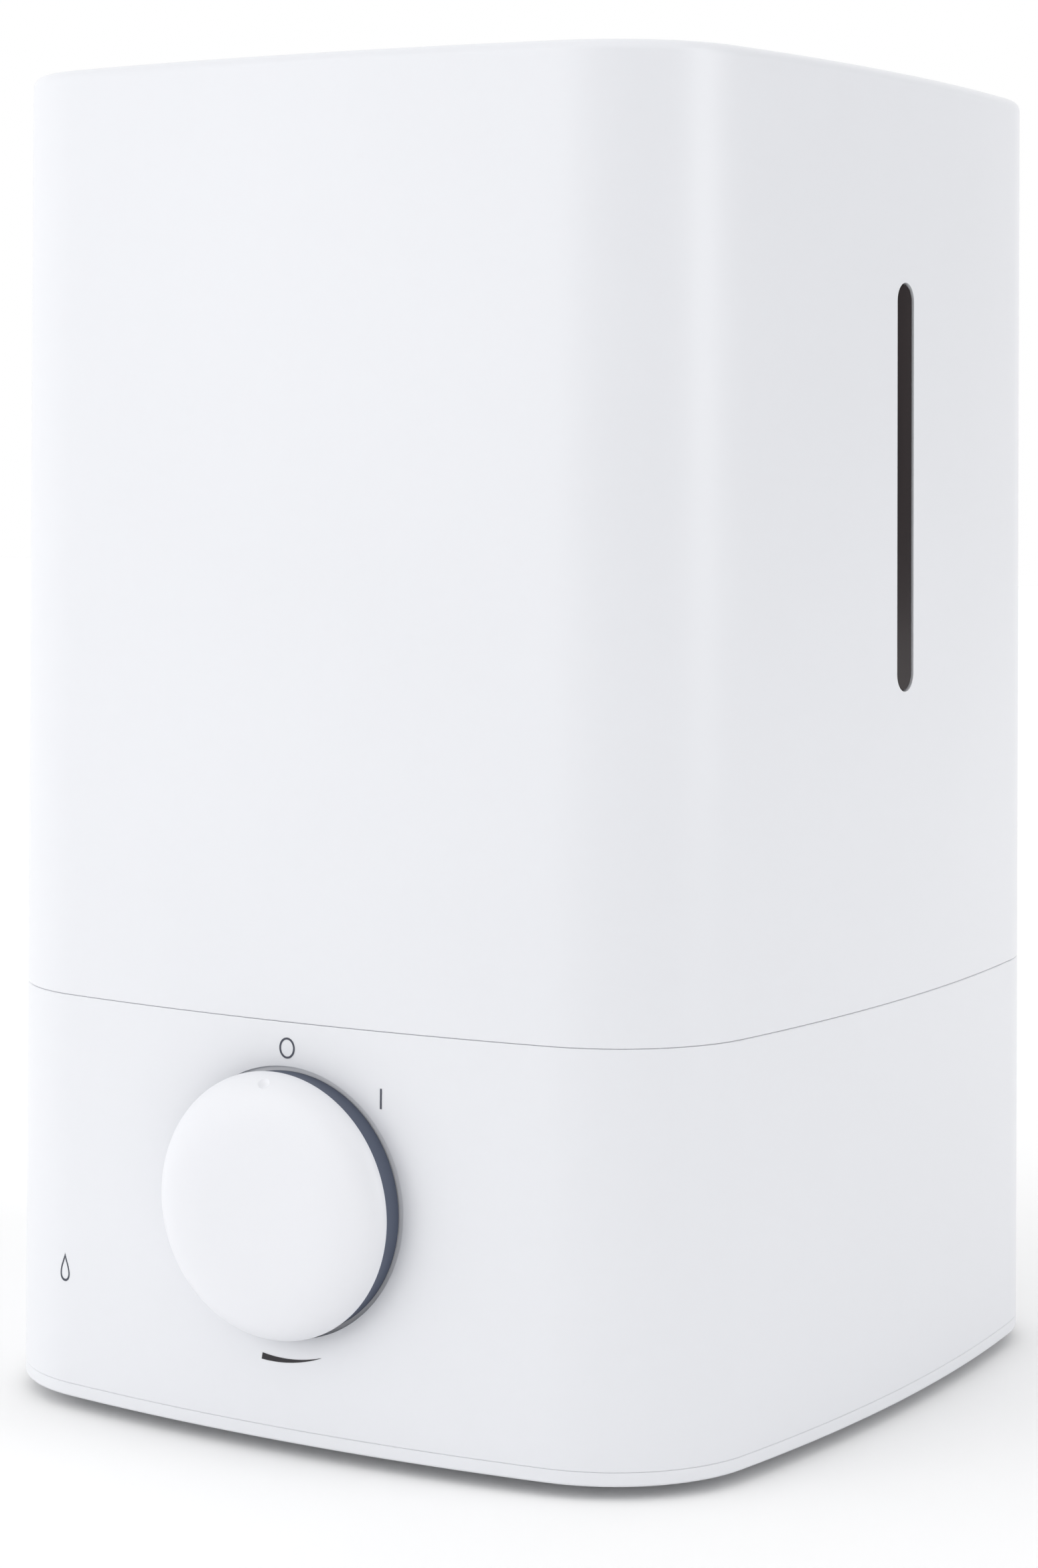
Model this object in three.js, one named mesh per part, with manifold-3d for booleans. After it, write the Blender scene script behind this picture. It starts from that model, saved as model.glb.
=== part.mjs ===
// Cool mist humidifier, in millimetres. +Z is up and the knob is on the -Y side.
// A water tank lifts off a base that holds a shallow basin, an ultrasonic transducer, a fan,
// a float switch and the electronics. The tank's lid drops into its rim and carries a nozzle
// that turns. The origin is on the surface it stands on, under the middle of the overall box.

import * as THREE from "three";
import { mergeVertices } from "three/addons/utils/BufferGeometryUtils.js";
import Module from "manifold-3d";

const wasm = await Module();
wasm.setup();

// Outer body
const bodyWidth = 189.8; // X, at the lower edge
const bodyDepth = 200; // Y, at the lower edge, without the knob
const bodyHeight = 289.7; // from the feet to the rim
const baseHeight = 91.7; // from the feet to the seam between base and tank
const cornerRadius = 34.5;
const sideBow = 10.1; // how far the middle of each side bulges
const draft = 4.2; // how far each side leans in on its way up to the rim
const wall = 2.6;
const footHeight = 3; // air under the lower edge
const rimFillet = 2.4;
const seamGap = 0.5;
const seamBevel = 0.4;
const gap = 0.3; // between pieces that seat on or in each other
const over = 1; // how far a cut runs past what it cuts
const overlap = 0.5; // how far a boss reaches into the piece it grows from

// Feet
const foot = { radius: 9, bevel: 0.6, stem: 2.8, barb: 4.2, barbRim: 1.2, tip: 1.5, tipRise: 3 };
const footOut = 8; // feet stand outside the corners' centres

// Screws: radii of head and shank, height of the head, and how far some reach
const coverScrew = { head: 3, height: 1.6, shank: 1.3, reach: 12 };
const clampScrew = { head: 2.5, height: 1.4, shank: 1.1 };
const fanScrew = { head: 2.8, height: 1.6, shank: 1.1 };
const boardScrew = { head: 2.6, height: 1.5, shank: 1.1, tip: 1.3 };
const screwClearance = 0.4;
const pilotRadius = 1.4;

// Bottom cover
const coverBand = 3; // the part of its edge that shows
const coverPlate = 2.5;
const coverRaise = 1.5; // plate above the lower edge
const coverLip = 1.6;
const lipHeight = 3;
const coverEdge = { bevel: 0.6, width: 3.4, rise: 6 }; // underside, from the outer surface in
const standoff = { radius: 3.5, bore: 1.5 };
const ventSlot = { length: 36, width: 3, pitch: 6, count: 7 };

// Basin
const ledgeDrop = 13.2; // below the seam
const ledgeWidth = 4.4;
const ledgeThickness = 2.5;
const gasketHeight = 1.2;
const gasketClearance = 0.4; // at its sides
const basinFlange = 2.2;
const basinWall = 2.2;
const basinDepth = 16;
const basinFloor = 2.5;
const postRadius = 4; // posts that take the cover's screws
const postInset = 22.9; // from the widest point of the side
const postY = 36;
const postRelief = 3; // hole past the tip of the cover's screw
const basinBevel = 1;

// Tank
const tankSkirt = 8; // how far its dished floor reaches below the seam
const skirtClearance = 1.5;
const tankFloorThickness = 2.5;
const tankFloorBevel = 1.5;
const tankFlange = 2.6;
const collarInset = 10;
const collarDepth = 8.7;
const ledgeReach = 3;
const collarShelf = 2.5;
const rimCove = 1.6; // inside corner under the rim
const chimneyRadius = 18;
const chimneyWall = 2;
const chimneyFlange = { width: 5, thickness: 2.2, seal: 1, sealClearance: 0.5 };
const chimneyGap = 4; // under the lid's dish
const chimneyDip = 8; // below the tank's floor
const slotWidth = 8;
const slotTopMargin = 44.2; // below the rim
const slotBottomMargin = 66.6; // above the seam
const windowRecess = 0.3;
const windowFlange = { width: 2.8, thickness: 1.5 };

// Lid and nozzle
const lidClearance = 0.6;
const lidThickness = 2.6;
const lidBelowRim = 1.5;
const lidEdge = 1.3;
const lidBand = 2.2; // width of the edge that rests on the collar's ledge
const dishRadius = 52;
const dishDepth = 14;
const dishWall = 2.2;
const nozzleRadius = 25;
const nozzleWall = 2.2;
const spigotClearance = 1; // between the nozzle's spigot and the chimney's bore
const nozzleSpigotWall = 1.8;
const spigotReach = 6; // into the chimney
const nozzleRise = 0.4; // above the lid
const nozzleDome = [[0, 6], [0.8, 3.6], [3.4, 1.3], [10, 0.3]]; // [in from its side, below its top]
const nozzleDomeInside = [[9, 0.4], [2.5, 1.6], [0, 5]];
const outlet = { length: 30, width: 9, offset: 9.5 };

// Knob and its potentiometer
const knobRadius = 28.2;
const knobRingRadius = 27.6;
const knobRingDepth = 4; // grey ring, proud of the face
const knobDepth = 10.8; // whole knob, proud of the face
const knobRecess = 1.25;
const knobWall = 3.2;
const knobClearance = 0.4; // round it in its recess
const knobRingWidth = 4.5;
const knobSpigotWall = 2.6;
const knobSpigotGap = 0.5; // from the wall
const knobDome = [[0, 6], [0.2, 5.2], [1.7, 3.2], [4.2, 1.8], [8.2, 0.7], [14.2, 0.2]];
const knobHub = { wall: 3.2, gap: 2.6, seat: 0.8 };
const shaftRadius = 3;
const bushingRadius = 4.5;
const potRadius = 8.5;
const potDepth = 9;
const potBelowBasin = 1.6;
const potSpacer = 0.5; // between it and the wall
const bushingReach = 2.9; // out of the knob's recess
const potNut = { across: 12.8, thickness: 2 };
const shaftPlay = 0.3; // short of the hub's end

// Transducer, valve and float
const discRadius = 10;
const discThickness = 1.2;
const mistHoleRadius = 7.5;
const clampRadius = 20;
const clampThickness = 2;
const clampEdge = 3.5; // from its screws to its rim
const clampBoss = { radius: 3, drop: 2.8 };
const discSeal = { bite: 1.5, lip: 0.3, play: 0.1, clearance: 0.5 };
const valvePlace = [-42, 20];
const valveHoleRadius = 7;
const valveTravel = 4;
const valvePin = { radius: 3, below: 4 };
const plunger = { radius: 10, stem: 2, thickness: 2, seal: 1.2, sealInset: 0.5, above: 1 };
const cage = { radius: 14.4, height: 20, wall: 2.4, roof: 2, foot: 2, rim: 1, window: 16, bar: 3 };
const stemClearance = 0.4;
const spring = { radius: 4.6, wire: 0.5, turns: 4, steps: 8 };
const floatPlace = [48, -30];
const floatRadius = 11;
const floatHeight = 10;
const floatTravel = 4.5;
const floatPost = 2.5;
const floatRest = 0.4; // above the basin's floor
const floatClearance = 0.4; // round its post
const floatBevel = 1;
const floatClip = { clearance: 0.2, width: 2, height: 1 };
const magnetPocket = { inner: 4.5, outer: 7.5, depth: 3.3 };
const reedSwitch = { length: 14, width: 5, depth: 4 };

// Fan and air duct
const fanSide = 50;
const fanDepth = 15;
const fanY = clampRadius + 2 + fanSide / 2; // just behind the transducer
const fanBelowBasin = 2.5;
const fanHubRadius = 10;
const fanBlades = 7;
const fanFrame = { wall: 1.5, stator: 2, strut: 3, pin: 1.5, pinBelow: 4, corner: 5, hole: 2.1 };
const rotor = { bore: 1.9, roof: 2, bevel: 1, clearance: 0.4, below: 0.8 };
const blade = { thickness: 1.2, pitch: 38, tipClearance: 0.9, endClearance: 1.5 };
const fanBoss = 3.5;
const duct = { width: 30, depth: 14, wall: 2, height: 13.5 };

// Electronics
const board = { width: 84, depth: 56, thickness: 1.6, x: -10, y: -30, raise: 5, edge: 4 };
const heatSink = { width: 26, depth: 13, height: 24, back: 3, fin: 2, pitch: 8, count: 4, x: 2, y: 12 };
const transistor = {
  x: 8,
  width: 10,
  body: { depth: 4.5, z: [4, 13] },
  tab: { depth: 1.4, z: [12, 19] },
  legs: { width: 7, from: 2.7, to: 2, height: 5 },
};
const canister = { radius: 5, height: 16, groove: 0.4, x: 18, y: -12 };
const coil = { radius: 6.5, section: 2.8, x: 28, y: 8, z: 3 };
const plug = { width: 24, depth: 7, height: 8, pitch: 6, x: 4, y: 14 };
const jack = { radius: 3.9, depth: 11, bore: 2.8, floor: 3, pin: 1, pinShort: 0.8 };
const jackFlange = { radius: 6.2, thickness: 1.2, recess: 1.5, clearance: 0.4 };
const jackNut = { across: 11.4, thickness: 2.2, gap: 0.5 };
const jackZ = 18;
const leadRadius = 1.1;

// How finely arcs are divided
const sideSteps = 4;
const cornerSteps = 5;
const roundSteps = 24;
const knobSteps = 36;
const smallSteps = 10;

// Levels that follow from the sizes above
const lowerEdge = footHeight;
const plateBottom = lowerEdge + coverRaise;
const plateTop = plateBottom + coverPlate;
const housingBottom = lowerEdge + coverBand + gap;
const housingTop = baseHeight - seamGap / 2;
const ledgeTop = baseHeight - ledgeDrop;
const flangeBottom = ledgeTop + gasketHeight + 2 * gap;
const flangeTop = flangeBottom + basinFlange;
const basinTop = flangeTop - basinDepth; // where the water lies
const basinUnder = basinTop - basinFloor;
const tankBottom = baseHeight + seamGap / 2;
const tankFlangeBottom = tankBottom + 2 * gap;
const tankFloorUnder = baseHeight - tankSkirt;
const tankFloorTop = tankFloorUnder + tankFloorThickness;
const collarLedge = bodyHeight - collarDepth;
const lidBottom = collarLedge + gap;
const lidTop = bodyHeight - lidBelowRim;
const dishTop = lidTop - dishDepth;
const dishUnder = dishTop - dishWall;
const chimneyTop = dishUnder - chimneyGap;
const chimneyBottom = tankFloorUnder - chimneyDip;
const nozzleBottom = dishTop + gap;
const nozzleTop = lidTop + nozzleRise;
const nozzleSpigotRadius = chimneyRadius - chimneyWall - spigotClearance;
const fanTop = basinUnder - fanBelowBasin;
const fanBottom = fanTop - fanDepth;
const knobZ = basinUnder - potBelowBasin - potRadius;
const boardBottom = plateTop + board.raise + gap;
const boardTop = boardBottom + board.thickness;

// Insets that follow, from the outer surface at each height
const lipInset = wall + gap;
const ledgeInset = wall + ledgeWidth;
const basinOuter = ledgeInset + gap;
const basinInner = basinOuter + basinWall;
const skirtOuter = basinInner + skirtClearance;
const skirtInner = skirtOuter + tankFloorThickness;
const collarOuter = collarInset - wall;
const lidInset = collarInset + lidClearance;

const halfX = bodyWidth / 2;
const halfY = bodyDepth / 2;

// Plan outline

// Radius of the arc that bulges by sideBow over a side whose half length is half.
function bowRadius(half) {
  return (half * half + sideBow * sideBow) / (2 * sideBow);
}

// The centre of the round corner in the +X +Y quarter: it lies inside both side arcs, at
// their radius less its own.
function cornerCentre(sideCentre, sideRadius, endCentre, endRadius) {
  const a = sideRadius - cornerRadius;
  const b = endRadius - cornerRadius;
  const apart = Math.hypot(sideCentre, endCentre);
  const along = (a * a - b * b + apart * apart) / (2 * apart);
  const across = Math.sqrt(a * a - along * along);
  const ux = -sideCentre / apart;
  const uy = endCentre / apart;
  return [sideCentre + along * ux - across * uy, along * uy + across * ux];
}

const sideRadius = bowRadius(halfY);
const endRadius = bowRadius(halfX);
const sideCentre = halfX - sideRadius;
const endCentre = halfY - endRadius;
const [cornerX, cornerY] = cornerCentre(sideCentre, sideRadius, endCentre, endRadius);

// How far the outer surface has leaned in at height z.
function lean(z) {
  return (draft * (z - lowerEdge)) / (bodyHeight - lowerEdge);
}

// The body's outline at height z, moved in by inset: four bowed sides and four round corners.
function outline(inset, z) {
  const moved = inset + lean(z);
  const sideEnd = Math.atan2(cornerY, cornerX - sideCentre);
  const endStart = Math.atan2(cornerY - endCentre, cornerX);
  const half = Math.PI;
  const arcs = [
    [sideCentre, 0, sideRadius, -sideEnd, sideEnd, sideSteps],
    [cornerX, cornerY, cornerRadius, sideEnd, endStart, cornerSteps],
    [0, endCentre, endRadius, endStart, half - endStart, sideSteps],
    [-cornerX, cornerY, cornerRadius, half - endStart, half - sideEnd, cornerSteps],
    [-sideCentre, 0, sideRadius, half - sideEnd, half + sideEnd, sideSteps],
    [-cornerX, -cornerY, cornerRadius, half + sideEnd, half + endStart, cornerSteps],
    [0, -endCentre, endRadius, half + endStart, 2 * half - endStart, sideSteps],
    [cornerX, -cornerY, cornerRadius, 2 * half - endStart, 2 * half - sideEnd, cornerSteps],
  ];
  return arcs.flatMap(([x, y, radius, from, to, steps]) =>
    Array.from({ length: steps }, (_, i) => {
      const angle = from + ((to - from) * i) / steps;
      const r = radius - moved;
      return [x + r * Math.cos(angle), y + r * Math.sin(angle), z];
    }),
  );
}

// The middle of the front and rear faces, at height z.
function faceY(z) {
  return halfY - lean(z);
}

// Solids

// A skin through loops of equal point counts. A closed one joins its last loop to its first,
// and an open one is capped at both ends by a fan from its middle.
function loft(loops, closed) {
  const count = loops[0].length;
  const points = loops.flat();
  const faces = [];
  const bands = closed ? loops.length : loops.length - 1;
  for (let band = 0; band < bands; band++) {
    const low = band * count;
    const high = ((band + 1) % loops.length) * count;
    for (let i = 0; i < count; i++) {
      const next = (i + 1) % count;
      faces.push(low + i, low + next, high + next, low + i, high + next, high + i);
    }
  }
  if (!closed) {
    const last = (loops.length - 1) * count;
    const bottom = points.push([0, 0, loops[0][0][2]]) - 1;
    const top = points.push([0, 0, loops.at(-1)[0][2]]) - 1;
    for (let i = 0; i < count; i++) {
      const next = (i + 1) % count;
      faces.push(bottom, next, i, top, last + i, last + next);
    }
  }
  const geometry = new THREE.BufferGeometry();
  geometry.setAttribute("position", new THREE.Float32BufferAttribute(points.flat(), 3));
  geometry.setIndex(faces);
  return geometry;
}

// A closed geometry as a solid that can be cut and joined, with its faces pointing out.
function solid(geometry) {
  const bare = geometry.clone();
  bare.deleteAttribute("normal");
  bare.deleteAttribute("uv");
  const merged = mergeVertices(bare, 1e-4);
  const vertProperties = Float32Array.from(merged.attributes.position.array);
  const triVerts = Uint32Array.from(merged.index.array);
  const build = () => new wasm.Manifold(new wasm.Mesh({ numProp: 3, vertProperties, triVerts }));
  const made = build();
  if (made.volume() > 0) return made;
  for (let i = 0; i < triVerts.length; i += 3) {
    [triVerts[i + 1], triVerts[i + 2]] = [triVerts[i + 2], triVerts[i + 1]];
  }
  return build();
}

// A shape swept round the body: profile is a closed loop of [inset, z].
function bodyRing(profile) {
  return solid(loft(profile.map(([inset, z]) => outline(inset, z)), true));
}

// A tray or plate of the body's outline: profile runs from its underside's middle round its
// edge to its upper side's middle.
function bodyPlate(profile) {
  return solid(loft(profile.map(([inset, z]) => outline(inset, z)), false));
}

// A turned solid about the Z axis through [x, y]. Its profile is [radius, z], and it starts
// and ends on the axis or closes on itself.
function turned(profile, steps = roundSteps, [x, y] = [0, 0]) {
  const onAxis = profile[0][0] === 0;
  const loop = onAxis ? profile : [...profile, profile[0]];
  const points = loop.map(([radius, z]) => new THREE.Vector2(radius, z));
  const geometry = new THREE.LatheGeometry(points, steps);
  return solid(geometry.rotateX(Math.PI / 2).translate(x, y, 0));
}

// A turned solid about an axis along Y through [x, z]. Its profile is [radius, y].
function turnedY(profile, steps, [x, z]) {
  return turned(profile, steps).rotate([90, 0, 0]).mirror([0, 1, 0]).translate([x, 0, z]);
}

function block(x0, x1, y0, y1, z0, z1) {
  const geometry = new THREE.BoxGeometry(x1 - x0, y1 - y0, z1 - z0);
  return solid(geometry.translate((x0 + x1) / 2, (y0 + y1) / 2, (z0 + z1) / 2));
}

function rod(radius, z0, z1, place, steps = smallSteps) {
  return turned([[0, z0], [radius, z0], [radius, z1], [0, z1]], steps, place);
}

function rodY(radius, y0, y1, place, steps = smallSteps) {
  return turnedY([[0, y0], [radius, y0], [radius, y1], [0, y1]], steps, place);
}

// A nut on an axis along Y: across is the distance between its flats.
function hexNutY(bore, across, y0, y1, place) {
  return rodY(across / Math.sqrt(3), y0, y1, place, 6).subtract(rodY(bore, y0 - 1, y1 + 1, place, 20));
}

// A washer or tube about the Z axis.
function tube(inner, outer, z0, z1, place, steps = roundSteps) {
  return turned([[inner, z0], [outer, z0], [outer, z1], [inner, z1]], steps, place);
}

// A round wire along a smooth curve through points.
function wire(points, radius, steps) {
  const path = new THREE.CatmullRomCurve3(points.map((p) => new THREE.Vector3(...p)));
  const section = new THREE.Shape().absarc(0, 0, radius, 0, 2 * Math.PI);
  const options = { steps, extrudePath: path, curveSegments: 3, bevelEnabled: false };
  return solid(new THREE.ExtrudeGeometry(section, options));
}

// A screw driven upwards, with its head's top at z.
function screwUp({ head, height, shank }, z, end, place) {
  return rod(head, z - height, z, place).add(rod(shank, z - height / 2, end, place));
}

// An upright slot with round ends that runs through X, centred on Y = 0.
function slotX(width, z0, z1, x0, x1) {
  const r = width / 2;
  const shape = new THREE.Shape();
  shape.absarc(0, z1 - r, r, 0, Math.PI);
  shape.absarc(0, z0 + r, r, Math.PI, 2 * Math.PI);
  const options = { depth: x1 - x0, bevelEnabled: false, curveSegments: 8 };
  const geometry = new THREE.ExtrudeGeometry(shape, options);
  return solid(geometry.rotateX(Math.PI / 2).rotateZ(Math.PI / 2).translate(x0, 0, 0));
}

// Scene

const humidifier = new THREE.Group();
const body = new THREE.Group(); // everything, about the body's own middle
humidifier.add(body);

function finish(colour, roughness, metalness = 0) {
  return new THREE.MeshStandardMaterial({ color: colour, roughness, metalness });
}

const finishes = {
  white: finish(0xeff0f5, 0.42),
  basin: finish(0xe6e8ea, 0.4),
  slate: finish(0x545c6e, 0.5),
  smoked: finish(0x302a2c, 0.12),
  clear: finish(0xdfe6ea, 0.15),
  rubber: finish(0x3a3b3d, 0.85),
  silicone: finish(0xd9dcdf, 0.6),
  steel: finish(0xb9bcc0, 0.3, 1),
  brass: finish(0xb98f4a, 0.35, 1),
  black: finish(0x1c1d20, 0.5),
  board: finish(0x1f5b3a, 0.55),
  aluminium: finish(0xa9adb2, 0.35, 1),
  copper: finish(0xa35a33, 0.4, 1),
  lead: finish(0x23252a, 0.6),
};

// Adds a solid to a group as a named mesh.
function piece(group, name, made, material) {
  const { vertProperties, triVerts } = made.getMesh();
  const geometry = new THREE.BufferGeometry();
  geometry.setAttribute("position", new THREE.BufferAttribute(vertProperties, 3));
  geometry.setIndex(new THREE.BufferAttribute(triVerts, 1));
  const flat = geometry.toNonIndexed();
  flat.computeVertexNormals();
  const mesh = new THREE.Mesh(flat, material);
  mesh.name = name;
  group.add(mesh);
}

function subgroup(parent) {
  const group = new THREE.Group();
  parent.add(group);
  return group;
}

const base = subgroup(body);
const knob = subgroup(base);
const fan = subgroup(base);
const float = subgroup(base);
const tank = subgroup(body);
const valve = subgroup(tank);
const lid = subgroup(tank);
const nozzle = subgroup(lid);

const corners = [
  ["front_left", -1, -1],
  ["front_right", 1, -1],
  ["rear_left", -1, 1],
  ["rear_right", 1, 1],
];

const footPlace = (sx, sy) => [sx * (cornerX + footOut), sy * (cornerY + footOut)];
const postPlace = (sx, sy) => [sx * (halfX - postInset), sy * postY];

// Feet: a pad under the cover, with a stem and a barb through it.
for (const [where, sx, sy] of corners) {
  const padTop = plateBottom - gap;
  const barb = plateTop + gap;
  const profile = [
    [0, 0],
    [foot.radius - foot.bevel, 0],
    [foot.radius, foot.bevel],
    [foot.radius, padTop],
    [foot.stem, padTop],
    [foot.stem, barb],
    [foot.barb, barb],
    [foot.barb, barb + foot.barbRim],
    [foot.tip, barb + foot.tipRise],
    [0, barb + foot.tipRise],
  ];
  piece(base, `foot_${where}`, turned(profile, smallSteps, footPlace(sx, sy)), finishes.rubber);
}

// Board corners that have a standoff, on the cover.
const standoffs = [-1, 1].flatMap((sx) =>
  [-1, 1].map((sy) => [
    board.x + sx * (board.width / 2 - board.edge),
    board.y + sy * (board.depth / 2 - board.edge),
  ]),
);

// Bottom cover: a tray edge that shows as a band, and a lip inside the housing.
{
  const band = lowerEdge + coverBand;
  let cover = bodyPlate([
    [coverEdge.rise, plateBottom],
    [coverEdge.width, lowerEdge],
    [coverEdge.bevel, lowerEdge],
    [0, lowerEdge + coverEdge.bevel],
    [0, band],
    [lipInset, band],
    [lipInset, band + lipHeight],
    [lipInset + coverLip, band + lipHeight],
    [lipInset + coverLip, plateTop],
  ]);
  for (const [, sx, sy] of corners) {
    cover = cover.subtract(rod(foot.stem + gap, 0, plateTop + over, footPlace(sx, sy)));
    const hole = coverScrew.shank + screwClearance;
    cover = cover.subtract(rod(hole, 0, plateTop + over, postPlace(sx, sy)));
  }
  for (const place of standoffs) {
    cover = cover.add(rod(standoff.radius, plateBottom + overlap, plateTop + board.raise, place));
    cover = cover.subtract(rod(standoff.bore, plateTop + over, boardTop, place));
  }
  for (let i = 0; i < ventSlot.count; i++) {
    const y = fanY + (i - (ventSlot.count - 1) / 2) * ventSlot.pitch;
    const x = ventSlot.length / 2;
    const w = ventSlot.width / 2;
    cover = cover.subtract(block(-x, x, y - w, y + w, 0, plateTop + over));
  }
  piece(base, "bottom_cover", cover, finishes.white);
}

// Places along Y at the knob and at the power jack.
const knobFace = -faceY(knobZ);
const knobSeat = knobFace + knobRecess;
const jackFace = faceY(jackZ);

// Base housing: the lower shell, with a ledge that carries the basin.
{
  let housing = bodyRing([
    [0, housingBottom],
    [0, housingTop - seamBevel],
    [seamBevel, housingTop],
    [wall, housingTop],
    [wall, ledgeTop],
    [ledgeInset, ledgeTop],
    [ledgeInset, ledgeTop - ledgeThickness],
    [wall, ledgeTop - ledgeThickness - ledgeWidth],
    [wall, housingBottom],
  ]);
  const front = knobFace - over;
  const shaftHole = bushingRadius + gap;
  housing = housing.subtract(rodY(shaftHole, front, knobFace + 2 * wall, [0, knobZ], 20));
  housing = housing.subtract(rodY(knobRadius + knobClearance, front, knobSeat, [0, knobZ], knobSteps));
  const rear = jackFace + over;
  housing = housing.subtract(rodY(jack.radius + gap, jackFace - 2 * wall, rear, [0, jackZ], 16));
  const seat = jackFace - jackFlange.recess;
  const recess = jackFlange.radius + jackFlange.clearance;
  housing = housing.subtract(rodY(recess, seat, rear, [0, jackZ], 20));
  piece(base, "base_housing", housing, finishes.white);
}

// Basin: holds the water that feeds the transducer, with screw posts down to the cover,
// the fan's and transducer's bosses, an air duct, the valve's pin and the float's post.
const floatTop = basinTop + floatRest + floatHeight + floatTravel;
const pinTop = tankFloorUnder - valvePin.below;
const clampScrewX = clampRadius - clampEdge;
const fanScrewOut = fanSide / 2 - fanFrame.corner;
{
  let basin = bodyPlate([
    [basinOuter + basinBevel, basinUnder],
    [basinOuter, basinUnder + basinBevel],
    [basinOuter, flangeBottom],
    [lipInset, flangeBottom],
    [lipInset, flangeTop],
    [basinInner, flangeTop],
    [basinInner, basinTop],
  ]);
  const inFloor = basinUnder + overlap;
  for (const [, sx, sy] of corners) {
    const place = postPlace(sx, sy);
    basin = basin.add(rod(postRadius, plateTop + gap, inFloor, place));
    const end = plateTop + coverScrew.reach + postRelief;
    basin = basin.subtract(rod(coverScrew.shank + gap, plateTop, end, place, 8));
  }
  const ductX = duct.width / 2;
  const ductY = duct.depth / 2;
  const outX = ductX + duct.wall;
  const outY = ductY + duct.wall;
  const ductTop = basinTop + duct.height;
  basin = basin.add(block(-outX, outX, fanY - outY, fanY + outY, inFloor, ductTop));
  basin = basin.subtract(
    block(-ductX, ductX, fanY - ductY, fanY + ductY, basinUnder - over, ductTop + over),
  );
  const postEnd = floatTop + floatClip.height + 2 * gap;
  basin = basin.add(rod(valvePin.radius, inFloor, pinTop, valvePlace));
  basin = basin.add(rod(floatPost, inFloor, postEnd, floatPlace));
  basin = basin.subtract(rod(mistHoleRadius, basinUnder - over, basinTop + over, [0, 0], 20));
  for (const side of [-1, 1]) {
    const place = [side * clampScrewX, 0];
    const pilotEnd = basinUnder + 2 * overlap;
    basin = basin.add(rod(clampBoss.radius, basinUnder - clampBoss.drop, inFloor, place));
    basin = basin.subtract(rod(pilotRadius, basinUnder - clampBoss.drop - over, pilotEnd, place, 8));
    const fanPlace = [side * fanScrewOut, fanY + side * fanScrewOut];
    basin = basin.add(rod(fanBoss, fanTop + gap, inFloor, fanPlace));
    basin = basin.subtract(rod(pilotRadius, fanTop, pilotEnd, fanPlace, 8));
  }
  piece(base, "water_basin", basin, finishes.basin);
}

const gasket = [
  [lipInset + gasketClearance, ledgeTop + gap],
  [ledgeInset - gasketClearance, ledgeTop + gap],
  [ledgeInset - gasketClearance, flangeBottom - gap],
  [lipInset + gasketClearance, flangeBottom - gap],
];
piece(base, "basin_gasket", bodyRing(gasket), finishes.silicone);

for (const [where, sx, sy] of corners) {
  const top = plateBottom - gap;
  const made = screwUp(coverScrew, top, plateTop + coverScrew.reach, postPlace(sx, sy));
  piece(base, `cover_screw_${where}`, made, finishes.steel);
}

// Transducer: a ceramic disc in a rubber ring, clamped up against the basin's floor.
{
  const top = basinUnder - gap;
  const { lip, bite, play, clearance } = discSeal;
  const low = top - discThickness - 2 * lip - 2 * gap - play;
  const ringInner = discRadius - bite;
  const ringOuter = clampScrewX - clampBoss.radius - clearance;
  const seal = [
    [ringInner, low],
    [ringOuter, low],
    [ringOuter, top],
    [ringInner, top],
    [ringInner, top - lip],
    [discRadius + gap, top - lip],
    [discRadius + gap, low + lip],
    [ringInner, low + lip],
  ];
  piece(base, "transducer_seal", turned(seal), finishes.silicone);
  const disc = rod(discRadius, low + lip + gap, low + lip + gap + discThickness, [0, 0], 24);
  piece(base, "transducer_disc", disc, finishes.steel);
  const clampTop = Math.min(low, basinUnder - clampBoss.drop) - gap;
  const clampBottom = clampTop - clampThickness;
  let clamp = tube(discRadius - 2 * bite, clampRadius, clampBottom, clampTop);
  for (const side of [-1, 1]) {
    const place = [side * clampScrewX, 0];
    clamp = clamp.subtract(rod(pilotRadius, clampBottom - over, clampTop + over, place, 8));
    const screw = screwUp(clampScrew, clampBottom - gap, basinUnder + overlap, place);
    piece(base, `clamp_screw_${side < 0 ? "left" : "right"}`, screw, finishes.steel);
  }
  piece(base, "transducer_clamp", clamp, finishes.aluminium);
}

// Float switch: a ring with a magnet rides on the basin's post, over a reed switch.
{
  const low = basinTop + floatRest;
  const high = low + floatHeight;
  const bore = floatPost + floatClearance;
  const { inner, outer, depth } = magnetPocket;
  const profile = [
    [bore, low],
    [inner, low],
    [inner, low + depth],
    [outer, low + depth],
    [outer, low],
    [floatRadius - floatBevel, low],
    [floatRadius, low + floatBevel],
    [floatRadius, high - floatBevel],
    [floatRadius - floatBevel, high],
    [bore, high],
  ];
  piece(float, "float_ring", turned(profile, 20, floatPlace), finishes.white);
  const magnet = tube(inner + gap, outer - gap, low, low + depth - gap, floatPlace, 16);
  piece(float, "float_magnet", magnet, finishes.black);
  const clipInner = floatPost + floatClip.clearance;
  const clipOuter = floatPost + floatClip.width;
  const clipLow = floatTop + gap;
  const clip = tube(clipInner, clipOuter, clipLow, clipLow + floatClip.height, floatPlace, 16);
  piece(base, "float_clip", clip, finishes.clear);
  const [x, y] = floatPlace;
  const reedX = reedSwitch.length / 2;
  const reedY = reedSwitch.width / 2;
  const reedLow = basinUnder - reedSwitch.depth;
  const reed = block(x - reedX, x + reedX, y - reedY, y + reedY, reedLow, basinUnder - gap);
  piece(base, "float_switch", reed, finishes.black);
}

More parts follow.
